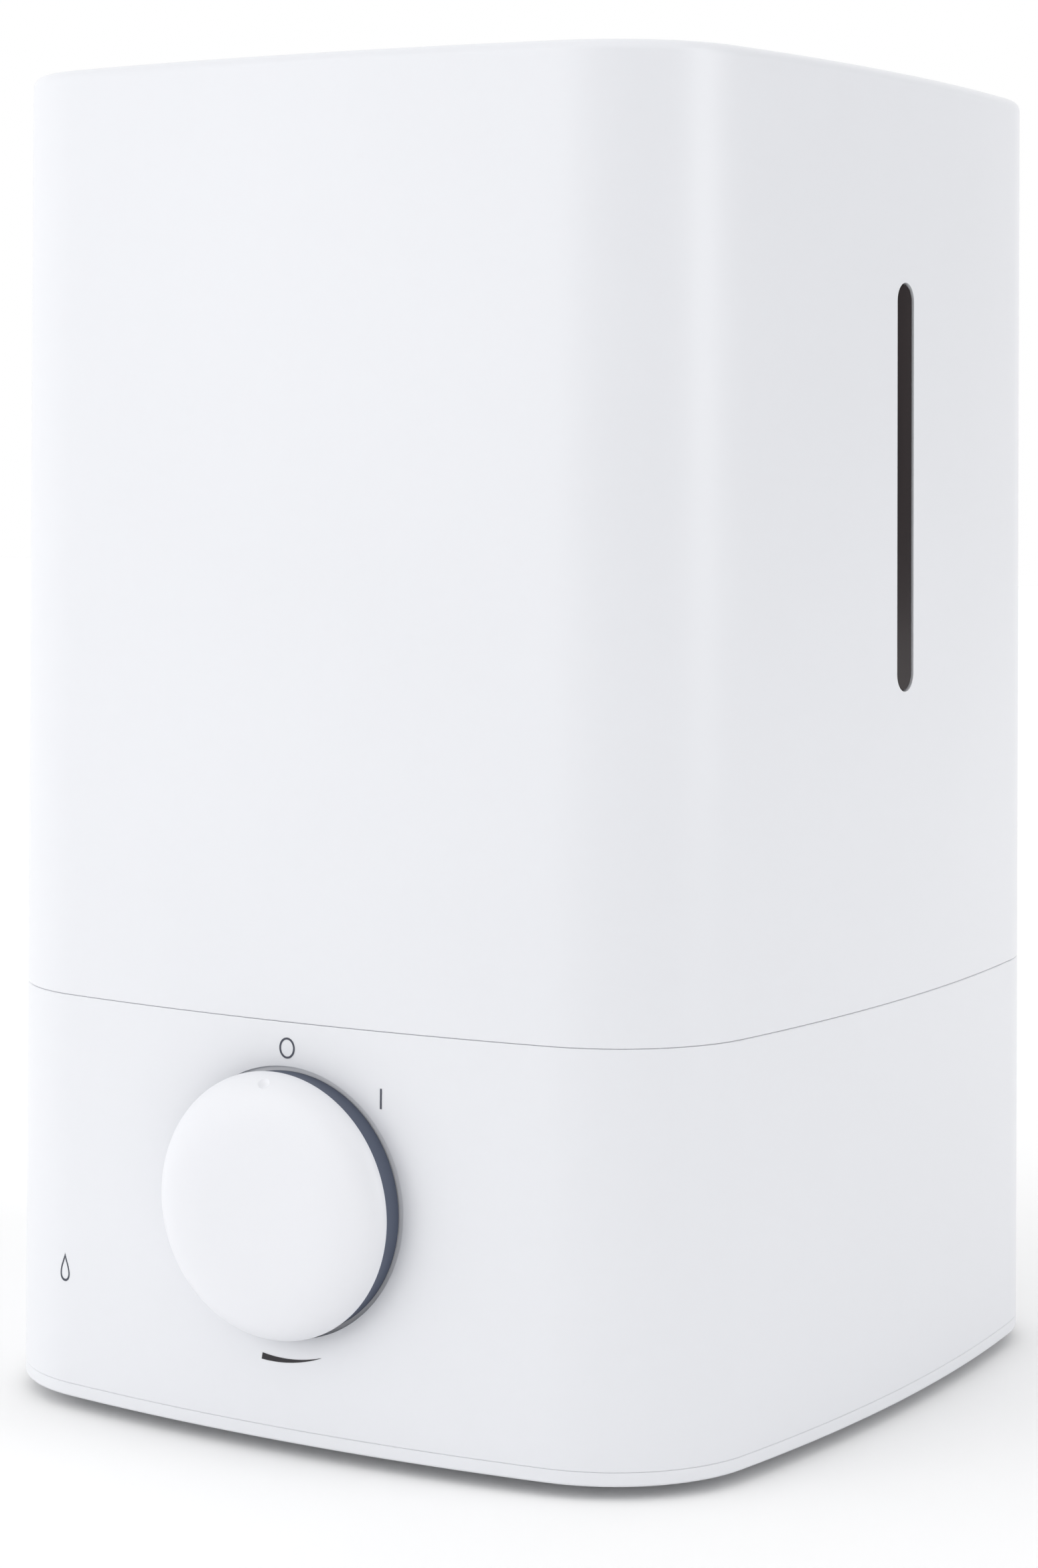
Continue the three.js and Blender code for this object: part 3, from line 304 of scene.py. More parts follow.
# Moves a piece to its place, smooths it, gives it its finish, ties it to its body and hides the CAD nodes it
# stands for.
def complete(piece, body, slot, finish, *nodes, shift=True):
    activate(piece)
    if shift:
        piece.location.y += middleY
    applyPlace()
    bpy.ops.object.shade_smooth_by_angle(angle=smoothAngle)
    modify(piece, "WEIGHTED_NORMAL", keep_sharp=True)
    piece.data.materials.clear()
    piece.data.materials.append(finishes[finish])
    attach(piece, body)
    if nodes:
        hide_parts(*nodes)
    print("made", piece.name, len(piece.data.polygons))


# A socket with arithmetic: an expression on sockets adds its nodes to the tree.
class Wire:
    def __init__(self, tree, socket=None):
        self.tree, self.socket = tree, socket

    # Adds any node: its settings first, then what goes into its sockets.
    def node(self, kind, settings=None, inputs=None, output=0):
        made = self.tree.nodes.new(kind)
        for name, value in (settings or {}).items():
            if name == "stops":
                for i, (place, colour) in enumerate(value):
                    ramp = made.color_ramp.elements
                    stop = ramp[i] if i < len(ramp) else ramp.new(place)
                    stop.position, stop.color = place, (*colour, 1)
            else:
                setattr(made, name, value)
        for name, value in (inputs or {}).items():
            if isinstance(value, Wire):
                self.tree.links.new(value.socket, made.inputs[name])
            else:
                made.inputs[name].default_value = value
        return Wire(self.tree, made.outputs[output])

    def maths(self, operation, *values):
        return self.node("ShaderNodeMath", {"operation": operation}, dict(enumerate(values)))

    def __add__(self, other):
        return self.maths("ADD", self, other)

    def __sub__(self, other):
        return self.maths("SUBTRACT", self, other)

    def __rsub__(self, other):
        return self.maths("SUBTRACT", other, self)

    def __mul__(self, other):
        return self.maths("MULTIPLY", self, other)

    __radd__, __rmul__ = __add__, __mul__

    # A colour between two others by this factor.
    def between(self, first, second):
        ends = [c if isinstance(c, Wire) else (*c, 1) for c in (first, second)]
        settings = {"data_type": "RGBA", "clamp_factor": True}
        return self.node("ShaderNodeMix", settings, {0: self, 6: ends[0], 7: ends[1]}, 2)

    # This value's band from low to high, as 0 to 1.
    def spread(self, low, high):
        inputs = {0: self, 1: low, 2: high}
        return self.node("ShaderNodeMapRange", {"interpolation_type": "SMOOTHSTEP"}, inputs)

    def axis(self, i):
        return self.node("ShaderNodeSeparateXYZ", None, {0: self}, i)

    def scaled(self, size):
        return self.node("ShaderNodeMapping", None, {0: self, 3: size})


def noise(place, scale, detail=3.0, rough=0.5):
    return place.node("ShaderNodeTexNoise", None, {0: place, 2: scale, 3: detail, 4: rough})


def newFinish(name, constants):
    material = bpy.data.materials.new(name)
    material.use_nodes = True
    tree = material.node_tree
    shader = tree.nodes["Principled BSDF"]
    for socket, value in constants.items():
        shader.inputs[socket].default_value = value
    return material, shader, Wire(tree).node("ShaderNodeTexCoord", output="Object")


driven = {"colour": "Base Color", "rough": "Roughness", "metal": "Metallic", "normal": "Normal",
          "coat": "Coat Weight"}


# Links what varies over a surface to the shader's sockets.
def drive(shader, **wires):
    for name, wire in wires.items():
        wire.tree.links.new(wire.socket, shader.inputs[driven[name]])


def bump(height, strength, distance):
    inputs = {"Strength": strength, "Distance": distance * mm, "Height": height}
    return height.node("ShaderNodeBump", None, inputs)


# Moulded plastic: a fine even texture from the tool, faint flow marks and a slight cloudiness.
def mouldedPlastic(name, look):
    constants = {"IOR": 1.46, "Specular IOR Level": look.get("specular", 0.5)}
    material, shader, place = newFinish(name, constants)
    cloud = noise(place, scale=14, detail=4.0)
    flow = noise(place.scaled((1, 1, 0.16)), scale=26, detail=2.0)
    grain = noise(place, look["grainScale"], detail=2.0, rough=0.6)
    dark = tuple(c * (1 - look["cloud"]) for c in look["colour"])
    drive(
        shader,
        colour=cloud.spread(0.3, 0.7).between(dark, look["colour"]),
        rough=look["rough"] + (flow - 0.5) * look["roughSpread"] + (grain - 0.5) * 0.05,
        normal=bump(grain + flow * 0.3, look["grain"], look.get("grainDepth", 0.02)),
    )
    return material


# Brushed or plated metal with fine scratches along an axis.
def plainMetal(name, look):
    material, shader, place = newFinish(name, {"Metallic": 1.0})
    streak = noise(place.scaled(look["stretch"]), look["scale"], detail=4.0, rough=0.6)
    cloud = noise(place, scale=60)
    dark = tuple(c * 0.8 for c in look["colour"])
    drive(
        shader,
        colour=(streak * 0.5 + cloud * 0.5).spread(0.3, 0.7).between(dark, look["colour"]),
        rough=look["rough"] + (streak - 0.5) * 0.18,
        normal=bump(streak, look["depth"], 0.01),
    )
    return material


# Soft rubber or silicone: a dull skin with a fine pebble and dust that lightens it in places.
def softRubber(name, look):
    material, shader, place = newFinish(name, {"Specular IOR Level": 0.35, "IOR": 1.41})
    pebble = place.node("ShaderNodeTexVoronoi", {"feature": "SMOOTH_F1"}, {0: place, 2: 1600})
    dust = noise(place, scale=90, detail=5.0, rough=0.65)
    drive(
        shader,
        colour=dust.spread(0.45, 0.8).between(look["colour"], look["dusty"]),
        rough=look["rough"] + (dust - 0.5) * 0.2,
        normal=bump(pebble + dust, 0.3, 0.02),
    )
    return material


# Smoked clear plastic, polished, with a faint inner depth from its moulding.
def smokedPlastic(name, look):
    constants = {"Specular IOR Level": look["specular"], "Coat Roughness": 0.04}
    material, shader, place = newFinish(name, constants)
    depth = noise(place.scaled((1, 1, 0.12)), scale=70, detail=2.0)
    fine = noise(place, scale=900, detail=2.0)
    drive(
        shader,
        colour=depth.spread(0.3, 0.75).between(look["colour"], look["deep"]),
        rough=look["rough"] + (fine - 0.5) * 0.05,
        coat=depth * 0.04,
        normal=bump(depth, 0.12, 0.05),
    )
    return material


# A green board: traces on a grid under the mask, with tinned pads.
def circuitBoard(name, look):
    material, shader, place = newFinish(name, {"IOR": 1.5, "Coat Roughness": 0.2})
    brick = {"offset": 0.37, "offset_frequency": 3, "squash": 0.55, "squash_frequency": 2}
    sizes = {0: place, 4: 1.0, 5: 0.0007, 7: 0.0, 8: 0.011, 9: 0.0042}
    gap = place.node("ShaderNodeTexBrick", brick, sizes, 1)
    pads = place.node("ShaderNodeTexVoronoi", {"feature": "F1"}, {0: place, 2: 260})
    pad = pads.spread(0.2, 0.16)
    weave = noise(place, scale=1500, detail=2.0)
    mask = gap.between(look["colour"], look["trace"])
    drive(
        shader,
        colour=pad.between(mask, look["tin"]),
        metal=pad * 0.9,
        rough=0.42 - pad * 0.12 + (weave - 0.5) * 0.1,
        coat=0.5 - pad * 0.5,
        normal=bump(gap * 0.5 + weave * 0.2 + pad, 0.4, 0.03),
    )
    return material


# Enamelled wire wound round a ring that lies flat at a place.
def woundCopper(name, look):
    material, shader, place = newFinish(name, {"Metallic": 0.85, "Coat Roughness": 0.1})
    x, y = look["place"]
    offset = place.node("ShaderNodeVectorMath", {"operation": "SUBTRACT"}, {0: place, 1: (x, y, 0)})
    angle = place.maths("ARCTAN2", offset.axis(1), offset.axis(0))
    turns = (angle * look["turns"]).maths("SINE", angle * look["turns"])
    shade = noise(place, scale=300)
    drive(
        shader,
        colour=turns.spread(-1.0, 0.2).between(look["dark"], look["colour"]),
        rough=0.28 + shade * 0.15,
        coat=0.6 + shade * 0.4,
        normal=bump(turns, 0.8, 0.15),
    )
    return material


shellWhite = {"colour": (0.77, 0.78, 0.812), "cloud": 0.012, "rough": 0.3, "roughSpread": 0.06,
              "grainScale": 2600, "grain": 0.12, "specular": 0.42}
capWhite = dict(shellWhite, rough=0.36, grainScale=3200, grain=0.1, colour=(0.785, 0.793, 0.825))
liningWhite = dict(shellWhite, colour=(0.8, 0.812, 0.835), rough=0.36, roughSpread=0.1, cloud=0.02)
basinWhite = dict(shellWhite, colour=(0.72, 0.735, 0.755), rough=0.34, roughSpread=0.12, cloud=0.03)
slateGrey = dict(shellWhite, colour=(0.088, 0.105, 0.152), rough=0.46, cloud=0.08, grainScale=1800,
                 grain=0.3)
blackMoulded = {"colour": (0.014, 0.0145, 0.017), "cloud": 0.2, "rough": 0.48, "roughSpread": 0.14,
                "grainScale": 1500, "grain": 0.35, "grainDepth": 0.03}
printInk = {"colour": (0.055, 0.06, 0.085), "cloud": 0.1, "rough": 0.5, "roughSpread": 0.1,
            "grainScale": 3000, "grain": 0.2}
darkInk = dict(printInk, colour=(0.012, 0.01, 0.014))
leadSleeve = {"colour": (0.02, 0.021, 0.025), "cloud": 0.15, "rough": 0.55, "roughSpread": 0.2,
              "grainScale": 1200, "grain": 0.3}

smokedDark = {"colour": (0.014, 0.009, 0.010), "deep": (0.022, 0.015, 0.016), "rough": 0.16,
              "specular": 0.12}
siliconeGrey = {"colour": (0.55, 0.57, 0.6), "dusty": (0.63, 0.65, 0.68), "rough": 0.55}
rubberBlack = {"colour": (0.035, 0.035, 0.038), "dusty": (0.06, 0.06, 0.062), "rough": 0.8}
platedSteel = {"colour": (0.62, 0.63, 0.65), "rough": 0.3, "scale": 400, "stretch": (1, 1, 0.2),
               "depth": 0.15}
brushedAluminium = {"colour": (0.63, 0.64, 0.65), "rough": 0.38, "scale": 300, "stretch": (0.1, 1, 1),
                    "depth": 0.25}
turnedBrass = {"colour": (0.62, 0.44, 0.19), "rough": 0.32, "scale": 350, "stretch": (1, 0.2, 1),
               "depth": 0.2}
boardGreen = {"colour": (0.014, 0.11, 0.045), "trace": (0.03, 0.2, 0.08), "tin": (0.6, 0.6, 0.58)}
coilLow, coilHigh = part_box("induction_coil")
coilPlace = ((coilLow.x + coilHigh.x) / 2, (coilLow.y + coilHigh.y) / 2)
coilWire = {"colour": (0.5, 0.17, 0.06), "dark": (0.12, 0.035, 0.015), "turns": 42, "place": coilPlace}

finishes = {
    "shell": mouldedPlastic("shell white", shellWhite),
    "cap": mouldedPlastic("dial cap white", capWhite),
    "lining": mouldedPlastic("tank lining white", liningWhite),
    "basin": mouldedPlastic("basin plastic", basinWhite),
    "slate": mouldedPlastic("slate ring", slateGrey),
    "black": mouldedPlastic("black plastic", blackMoulded),
    "ink": mouldedPlastic("dial print", printInk),
    "darkInk": mouldedPlastic("dial print, solid", darkInk),
    "sleeve": mouldedPlastic("lead sleeve", leadSleeve),
    "smoked": smokedPlastic("smoked window", smokedDark),
    "silicone": softRubber("silicone", siliconeGrey),
    "rubber": softRubber("foot rubber", rubberBlack),
    "steel": plainMetal("plated steel", platedSteel),
    "aluminium": plainMetal("aluminium", brushedAluminium),
    "brass": plainMetal("brass", turnedBrass),
    "board": circuitBoard("circuit board", boardGreen),
    "copper": woundCopper("copper winding", coilWire),
}
print("finishes", len(finishes))

house = {
    "bottom": 6.04, "seam": 91.67, "seamRound": 0.3, "wall": 2.6, "edge": 0.15,
    "ledge": 78.5, "ledgeInset": 7.0, "ledgeThickness": 2.5,
    "dialRadius": 28.6, "dialRecess": 1.25, "dialSteps": 160, "shaftHole": 4.8, "dialZ": 53.9,
    "jackZ": 18, "jackHole": 4.2, "jackRecess": 6.6, "jackDepth": 1.5,
}
dialFace = -faceY(house["dialZ"])
jackFace = faceY(house["jackZ"])

wall, ledge, inset = house["wall"], house["ledge"], house["ledgeInset"]
underLedge = ledge - house["ledgeThickness"]
housing = sweepBody("housingSkin", [
    *roundCorner(0, house["bottom"], house["edge"], 270, 180, 3),
    *roundCorner(0, house["seam"], house["seamRound"], 180, 90, 5),
    (wall, house["seam"]), (wall, ledge), (inset, ledge), (inset, underLedge),
    (wall, underLedge - inset + wall), (wall, house["bottom"]),
])
dialPlace, jackPlace = (0, house["dialZ"]), (0, house["jackZ"])
jackSeat = jackFace - house["jackDepth"]
outwards, inwards = 2, 6  # how far the tools reach past the wall
dialSeat, dialSteps = dialFace + house["dialRecess"], house["dialSteps"]
carve(housing, rod(house["dialRadius"], dialFace - outwards, dialSeat, dialPlace, "Y", dialSteps))
carve(housing, rod(house["shaftHole"], dialFace - outwards, dialFace + inwards, dialPlace, "Y", 64))
carve(housing, rod(house["jackRecess"], jackSeat, jackFace + outwards, jackPlace, "Y", 64))
carve(housing, rod(house["jackHole"], jackFace - inwards, jackFace + outwards, jackPlace, "Y", 64))
complete(housing, "base", "white_shell", "shell", "base_housing")

cover = {
    "edge": 3, "edgeInset": 3.4, "raise": 1.5, "raiseInset": 6, "round": 0.7, "top": 6, "topRound": 0.15,
    "plate": 2.5, "lip": 2.9, "lipWall": 1.6, "lipTop": 9,
    "footHole": 3.1, "footOut": 8, "screwHole": 1.7, "postX": 72.0, "postY": 36,
    "vents": 7, "ventPitch": 6, "ventLength": 36, "ventWidth": 3, "ventCut": 12, "fanY": 47,
    "board": (-10, -30, 38, 24), "standoff": 3.5, "standoffHole": 1.5, "standoffTop": 12,
}
plateLow = cover["edge"] + cover["raise"]
plateHigh = plateLow + cover["plate"]
postPlaces = {where: (sx * cover["postX"], sy * cover["postY"]) for where, (sx, sy) in corners.items()}
footX, footY = cornerX + cover["footOut"], cornerY + cover["footOut"]
footPlaces = {where: (sx * footX, sy * footY) for where, (sx, sy) in corners.items()}

lip, top, topRound = cover["lip"], cover["top"], cover["topRound"]
coverPlate = sweepBody("coverPlate", [
    (cover["raiseInset"], plateLow), (cover["edgeInset"], cover["edge"]),
    *roundCorner(0, cover["edge"], cover["round"], 270, 180, 5),
    (0, top - topRound), (topRound, top), (lip, top), (lip, cover["lipTop"]),
    (lip + cover["lipWall"], cover["lipTop"]), (lip + cover["lipWall"], plateHigh),
], closed=False)
for place in postPlaces.values():
    carve(coverPlate, rod(cover["screwHole"], 0, plateHigh + past, place))
for place in footPlaces.values():
    carve(coverPlate, rod(cover["footHole"], 0, plateHigh + past, place))
for i in range(cover["vents"]):
    y = cover["fanY"] + (i - (cover["vents"] - 1) / 2) * cover["ventPitch"]
    vent = stadium("vent", (0, y, plateLow), cover["ventLength"], cover["ventWidth"], alongX, alongZ,
                   cover["ventCut"])
    carve(coverPlate, vent)
x, y, halfX, halfY = cover["board"]
standoff, hole, standoffTop = cover["standoff"], cover["standoffHole"], cover["standoffTop"]
for sx in (-1, 1):
    for sy in (-1, 1):
        place = (x + sx * halfX, y + sy * halfY)
        join(coverPlate, rod(standoff, plateLow + past, standoffTop, place))
        carve(coverPlate, rod(hole, plateHigh + past, standoffTop + past, place, steps=24))
complete(coverPlate, "base", "white_shell", "shell", "bottom_cover")

foot = {"radius": 9, "round": 0.8, "top": 4.2, "stem": 2.8, "barb": 4.2, "barbLow": 7.3, "barbRim": 1.2,
        "tip": 1.5, "tipRise": 3, "grooves": (2.4, 4.6, 6.6), "groove": 0.3}
treads = []
for start in foot["grooves"]:
    ends = ((0, 0), (1, 1), (2, 1), (3, 0))
    treads += [(start + out * foot["groove"], up * foot["groove"]) for out, up in ends]
radius, barb, barbLow = foot["radius"], foot["barb"], foot["barbLow"]
tipHigh = barbLow + foot["tipRise"]
footPad = turn("footPad", [
    (0, 0), *treads, *roundCorner(radius, 0, foot["round"], 270, 360, 5),
    (radius, foot["top"]), (foot["stem"], foot["top"]), (foot["stem"], barbLow),
    (barb, barbLow), (barb, barbLow + foot["barbRim"]), (foot["tip"], tipHigh), (0, tipHigh),
], steps=48)
for where, place in footPlaces.items():
    pad = copyTo(footPad, "foot_" + where + "_pad", place)
    complete(pad, "base", "foot_rubber", "rubber", "foot_" + where)
remove(footPad)

screw = {
    "head": 3, "low": 2.6, "high": 4.2, "shank": 1.3, "tip": 19, "point": 1, "pointRadius": 0.3,
    "dome": [(0.7, 0.15), (0.1, 0.6)],  # the head's curve: steps in from the rim and up from below
    "slotWidth": 0.7, "slotLength": 3.8, "slotDepth": 0.8,
}
low, high = screw["low"], screw["high"]
coverScrew = turn("coverScrew", [
    (0, low), *((screw["head"] - inside, low + up) for inside, up in screw["dome"]), (screw["head"], high),
    (screw["shank"], high), (screw["shank"], screw["tip"] - screw["point"]),
    (screw["pointRadius"], screw["tip"]), (0, screw["tip"]),
], steps=40)
long, wide = screw["slotLength"] / 2, screw["slotWidth"] / 2
for x, y in ((long, wide), (wide, long)):
    carve(coverScrew, block((-x, -y, low - past), (x, y, low + screw["slotDepth"])))
for where, place in postPlaces.items():
    copied = copyTo(coverScrew, "screw_" + where, place)
    complete(copied, "base", "steel", "steel", "cover_screw_" + where)
remove(coverScrew)
print("base shell done")

basin = {
    "outer": 7.3, "inner": 9.5, "under": 64, "bevel": 1.2, "floor": 66.5, "floorRound": 2.5,
    "flangeLow": 80.3, "flangeHigh": 82.5, "flangeEdge": 2.9, "flangeBevel": 0.3, "lipRound": 0.5,
    "into": 0.5, "post": 4, "postBottom": 7.3, "postHole": 1.6, "postHoleLow": 6, "postHoleTop": 22,
    "duct": (15, 7, 2, 80), "ductRound": 1.2, "pin": 3, "pinTop": 79.7, "float": 2.5, "mistHole": 7.5,
    "boss": 3, "bossX": 16.5, "bossDrop": 2.8, "bossHole": 1.4, "fanBoss": 3.5, "fanTop": 61.5, "fanOut": 20,
}
valvePlace, floatPlace = (-42, 20), (48, -30)
water = sweepBody("basinTray", [
    (basin["outer"] + basin["bevel"], basin["under"]), (basin["outer"], basin["under"] + basin["bevel"]),
    (basin["outer"], basin["flangeLow"]), (basin["flangeEdge"], basin["flangeLow"]),
    (basin["flangeEdge"], basin["flangeHigh"] - basin["flangeBevel"]),
    (basin["flangeEdge"] + basin["flangeBevel"], basin["flangeHigh"]),
    *roundCorner(basin["inner"], basin["flangeHigh"], basin["lipRound"], 90, 0, 3),
    *roundCorner(basin["inner"], basin["floor"], basin["floorRound"], 180, 270, 6),
], closed=False)
inFloor = basin["under"] + basin["into"]  # what stands on the floor starts inside it
for place in postPlaces.values():
    join(water, rod(basin["post"], basin["postBottom"], inFloor, place))
    carve(water, rod(basin["postHole"], basin["postHoleLow"], basin["postHoleTop"], place, steps=24))
ductX, ductY, ductWall, ductTop = basin["duct"]
outX, outY, y = ductX + ductWall, ductY + ductWall, cover["fanY"]
duct = block((-outX, y - outY, inFloor), (outX, y + outY, ductTop))
softenEdges(duct, basin["ductRound"], 4)
join(water, duct)
carve(water, block((-ductX, y - ductY, basin["under"] - past), (ductX, y + ductY, ductTop + past)))
pinRadius, pinTop = basin["pin"], basin["pinTop"]
pin = turn("pin", [
    (0, inFloor), (pinRadius, inFloor), (pinRadius, pinTop - 1), (pinRadius - 1, pinTop), (0, pinTop),
], valvePlace, steps=32)
join(water, pin)
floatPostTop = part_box("float_clip")[1].z / mm + 0.3
join(water, rod(basin["float"], inFloor, floatPostTop, floatPlace))
carve(water, rod(basin["mistHole"], basin["under"] - past, basin["floor"] + past, steps=64))
for side in (-1, 1):
    place, bossEnd = (side * basin["bossX"], 0), basin["under"] - basin["bossDrop"]
    join(water, rod(basin["boss"], bossEnd, inFloor, place))
    carve(water, rod(basin["bossHole"], bossEnd - past, basin["under"] + past, place, steps=24))
    place = (side * basin["fanOut"], cover["fanY"] + side * basin["fanOut"])
    join(water, rod(basin["fanBoss"], basin["fanTop"] + 0.3, inFloor, place))
    carve(water, rod(basin["bossHole"], basin["fanTop"], basin["under"] + past, place, steps=24))
complete(water, "base", "inner_plastic", "basin", "water_basin")

gasket = {"outer": 3.3, "inner": 6.6, "low": 78.8, "high": 80.0, "edge": 0.3, "round": 0.6}
level, roundness = (gasket["low"] + gasket["high"]) / 2, gasket["round"]
seal = sweepBody("basinGasket", [
    (gasket["outer"] + gasket["edge"], gasket["low"]),
    *arcPoints(gasket["outer"] + roundness, level, roundness, 250, 110, 6),
    (gasket["inner"] - gasket["edge"], gasket["high"]),
    *arcPoints(gasket["inner"] - roundness, level, roundness, 70, -70, 6),
])
complete(seal, "base", "silicone", "silicone", "basin_gasket")


# A turned piece that follows a CAD node's own box, with its profile in shares of that box.
def turnInBox(name, node, shares, body, slot, finish, steps=64):
    low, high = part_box(node)
    place = ((low.x + high.x) / 2 / mm, ((low.y + high.y) / 2 - middleY) / mm)
    radius, bottom, tall = (high.x - low.x) / 2 / mm, low.z / mm, (high.z - low.z) / mm
    profile = [(r * radius, bottom + z * tall) for r, z in shares]
    complete(turn(name, profile, place, steps=steps), body, slot, finish, node)


discShares = [(0, 0), (0.97, 0), (1, 0.15), (1, 0.85), (0.97, 1), (0.72, 1), (0.7, 0.96), (0, 0.96)]
turnInBox("mistDisc", "transducer_disc", discShares, "base", "steel", "steel", 96)
clipShares = [(0.6, 0), (0.9, 0), (1, 0.25), (1, 0.75), (0.9, 1), (0.6, 1)]
turnInBox("floatClip", "float_clip", clipShares, "base", "inner_plastic", "basin", 48)
floatShares = [
    (0.264, 0), (0.409, 0), (0.409, 0.33), (0.682, 0.33), (0.682, 0), (0.88, 0), (0.95, 0.03), (1, 0.12),
    (1, 0.44), (0.975, 0.47), (0.975, 0.53), (1, 0.56), (1, 0.88), (0.95, 0.97), (0.88, 1), (0.34, 1),
    (0.264, 0.95),
]
turnInBox("floatRing", "float_ring", floatShares, "float", "inner_plastic", "lining", 80)
ringShares = [
    (0.654, 0), (0.97, 0), (1, 0.1), (1, 0.9), (0.97, 1), (0.654, 1),
    (0.654, 0.88), (0.792, 0.88), (0.792, 0.12), (0.654, 0.12),
]
turnInBox("mistDiscSeal", "transducer_seal", ringShares, "base", "silicone", "silicone", 80)
print("basin done")

jack = {
    "bore": 2.8, "boreEnd": 3, "boreEdge": 0.4, "flange": 6.2, "flangeEdge": 0.3, "barrel": 3.9, "depth": 11,
    "thickness": 0.9, "gap": 0.3, "pin": 1.0, "pinDrop": 0.8, "pinEdge": 0.4,
}
seat = jackSeat + jack["gap"]
face, back, edge = seat + jack["thickness"], seat - jack["depth"], jack["flangeEdge"]
pinTop, pinEdge, boreEnd = face - jack["pinDrop"], jack["pinEdge"], back + jack["boreEnd"]
socket = turn("powerSocket", [
    (0, back), (jack["barrel"], back), (jack["barrel"], seat), (jack["flange"], seat),
    (jack["flange"], face - edge), (jack["flange"] - edge, face), (jack["bore"] + jack["boreEdge"], face),
    (jack["bore"], face - jack["boreEdge"]), (jack["bore"], boreEnd), (jack["pin"], boreEnd),
    (jack["pin"], pinTop - pinEdge), (jack["pin"] - pinEdge, pinTop), (0, pinTop),
], jackPlace, "Y", 64)
complete(socket, "base", "black_plastic", "black", "power_jack")

dial = {
    "capRadius": 28.2, "capFront": 10.75, "capBack": 4.3, "capEdge": 0.2, "domeStart": 4.6,
    "roundness": 6, "softness": 0.6, "hollow": 7.6, "hub": 6.5, "hubEnd": 2.6, "shaft": 3.3, "shaftEnd": 8.4,
    "spigot": 23.1, "spigotGap": 0.3, "spigotWall": 2.6, "spigotEnd": 0.5,
    "ringRadius": 27.6, "ringFront": 4, "ringBack": -0.95, "ringEdge": 0.2,
    "ringRound": [(0, 0.3), (0.1, 0.09), (0.3, 0)],  # steps in from the rim and back from the front
    "dimple": 2.4, "dimpleAt": 26.3, "dimpleDepth": 0.45, "steps": 160,
}


def domeAt(r):  # how far the cap's face stands proud at a radius
    share = max(0, 1 - (r / dial["capRadius"]) ** dial["roundness"])
    return dial["domeStart"] + (dial["capFront"] - dial["domeStart"]) * share ** dial["softness"]


def onDial(points):
    return [(r, dialFace - proud) for r, proud in points]


domeRadii = [0, 5, 10, 14, 17, 19.5, 21.5, 23, 24.2, 25.2, 26, 26.6, 27.1, 27.5, 27.8, 28.0, 28.12]
spigotOuter, capRadius, capEdge = dial["spigot"] - dial["spigotGap"], dial["capRadius"], dial["capEdge"]
bore = spigotOuter - dial["spigotWall"]
cap = turn("dialCap", onDial([
    *((r, domeAt(r)) for r in domeRadii), (capRadius, dial["domeStart"]),
    (capRadius, dial["capBack"] + capEdge), (capRadius - capEdge, dial["capBack"]),
    (spigotOuter, dial["capBack"]), (spigotOuter, dial["spigotEnd"]), (bore, dial["spigotEnd"]),
    (bore, dial["hollow"]), (dial["hub"], dial["hollow"]), (dial["hub"], dial["hubEnd"]),
    (dial["shaft"], dial["hubEnd"]), (dial["shaft"], dial["shaftEnd"]), (0, dial["shaftEnd"]),
]), dialPlace, "Y", dial["steps"])
# The pointer mark is a shallow round hollow, set square to the dome's slope.
deselectAll()
at, step = dial["dimpleAt"], 0.01
slope = (domeAt(at + step) - domeAt(at - step)) / (2 * step)
offset = Vector((-slope, 1)).normalized() * (dial["dimple"] - dial["dimpleDepth"])
middle = Vector((0, dialFace - domeAt(at) - offset.y, house["dialZ"] + at + offset.x)) * mm
bpy.ops.mesh.primitive_uv_sphere_add(segments=48, ring_count=32, radius=dial["dimple"] * mm, location=middle)
applyPlace()
carve(cap, bpy.context.object)
complete(cap, "knob", "white_shell", "cap", "knob_cap")

ringRadius, ringBack, ringEdge = dial["ringRadius"], dial["ringBack"], dial["ringEdge"]
ring = turn("dialRing", onDial([
    (dial["spigot"], ringBack), (ringRadius - ringEdge, ringBack), (ringRadius, ringBack + ringEdge),
    *((ringRadius - inside, dial["ringFront"] - behind) for inside, behind in dial["ringRound"]),
    (dial["spigot"], dial["ringFront"]),
]), dialPlace, "Y", dial["steps"])
complete(ring, "knob", "slate_ring", "slate", "knob_ring")
print("dial done")

# Marks printed round the dial, and a drop at the lower left of the front.
marks = {
    "offZ": 86.3, "offSize": (3.9, 4.4), "line": 0.42, "onX": 23.1, "onZ": 77.9, "onHeight": 4.2,
    "sweepRadius": 33, "sweepFrom": 164, "sweepTo": 190, "sweepStart": 0.05, "sweepWidth": 1.35,
    "sweepSteps": 40, "thick": 0.06, "lift": 0.02,
    "drop": (-62, 30.5), "dropRadius": 2.08, "dropTall": 3, "dropPinch": 1.6, "dropInner": (0.76, 2.35),
}


# Lays a flat mark, drawn in front of the wall, onto it as a thin skin.
def printMark(mark, ink="ink"):
    modify(mark, "SHRINKWRAP", target=housing, wrap_method="PROJECT", use_project_y=True,
           use_positive_direction=True, use_negative_direction=True, project_limit=0)
    editMode()
    selectMesh()
    bpy.ops.transform.translate(value=(0, -marks["lift"] * mm, 0))
    bpy.ops.mesh.extrude_region_move(TRANSFORM_OT_translate={"value": (0, -marks["thick"] * mm, 0)})
    selectMesh()
    bpy.ops.mesh.normals_make_consistent(inside=False)
    objectMode()
    complete(mark, "base", "black_plastic", ink, shift=False)


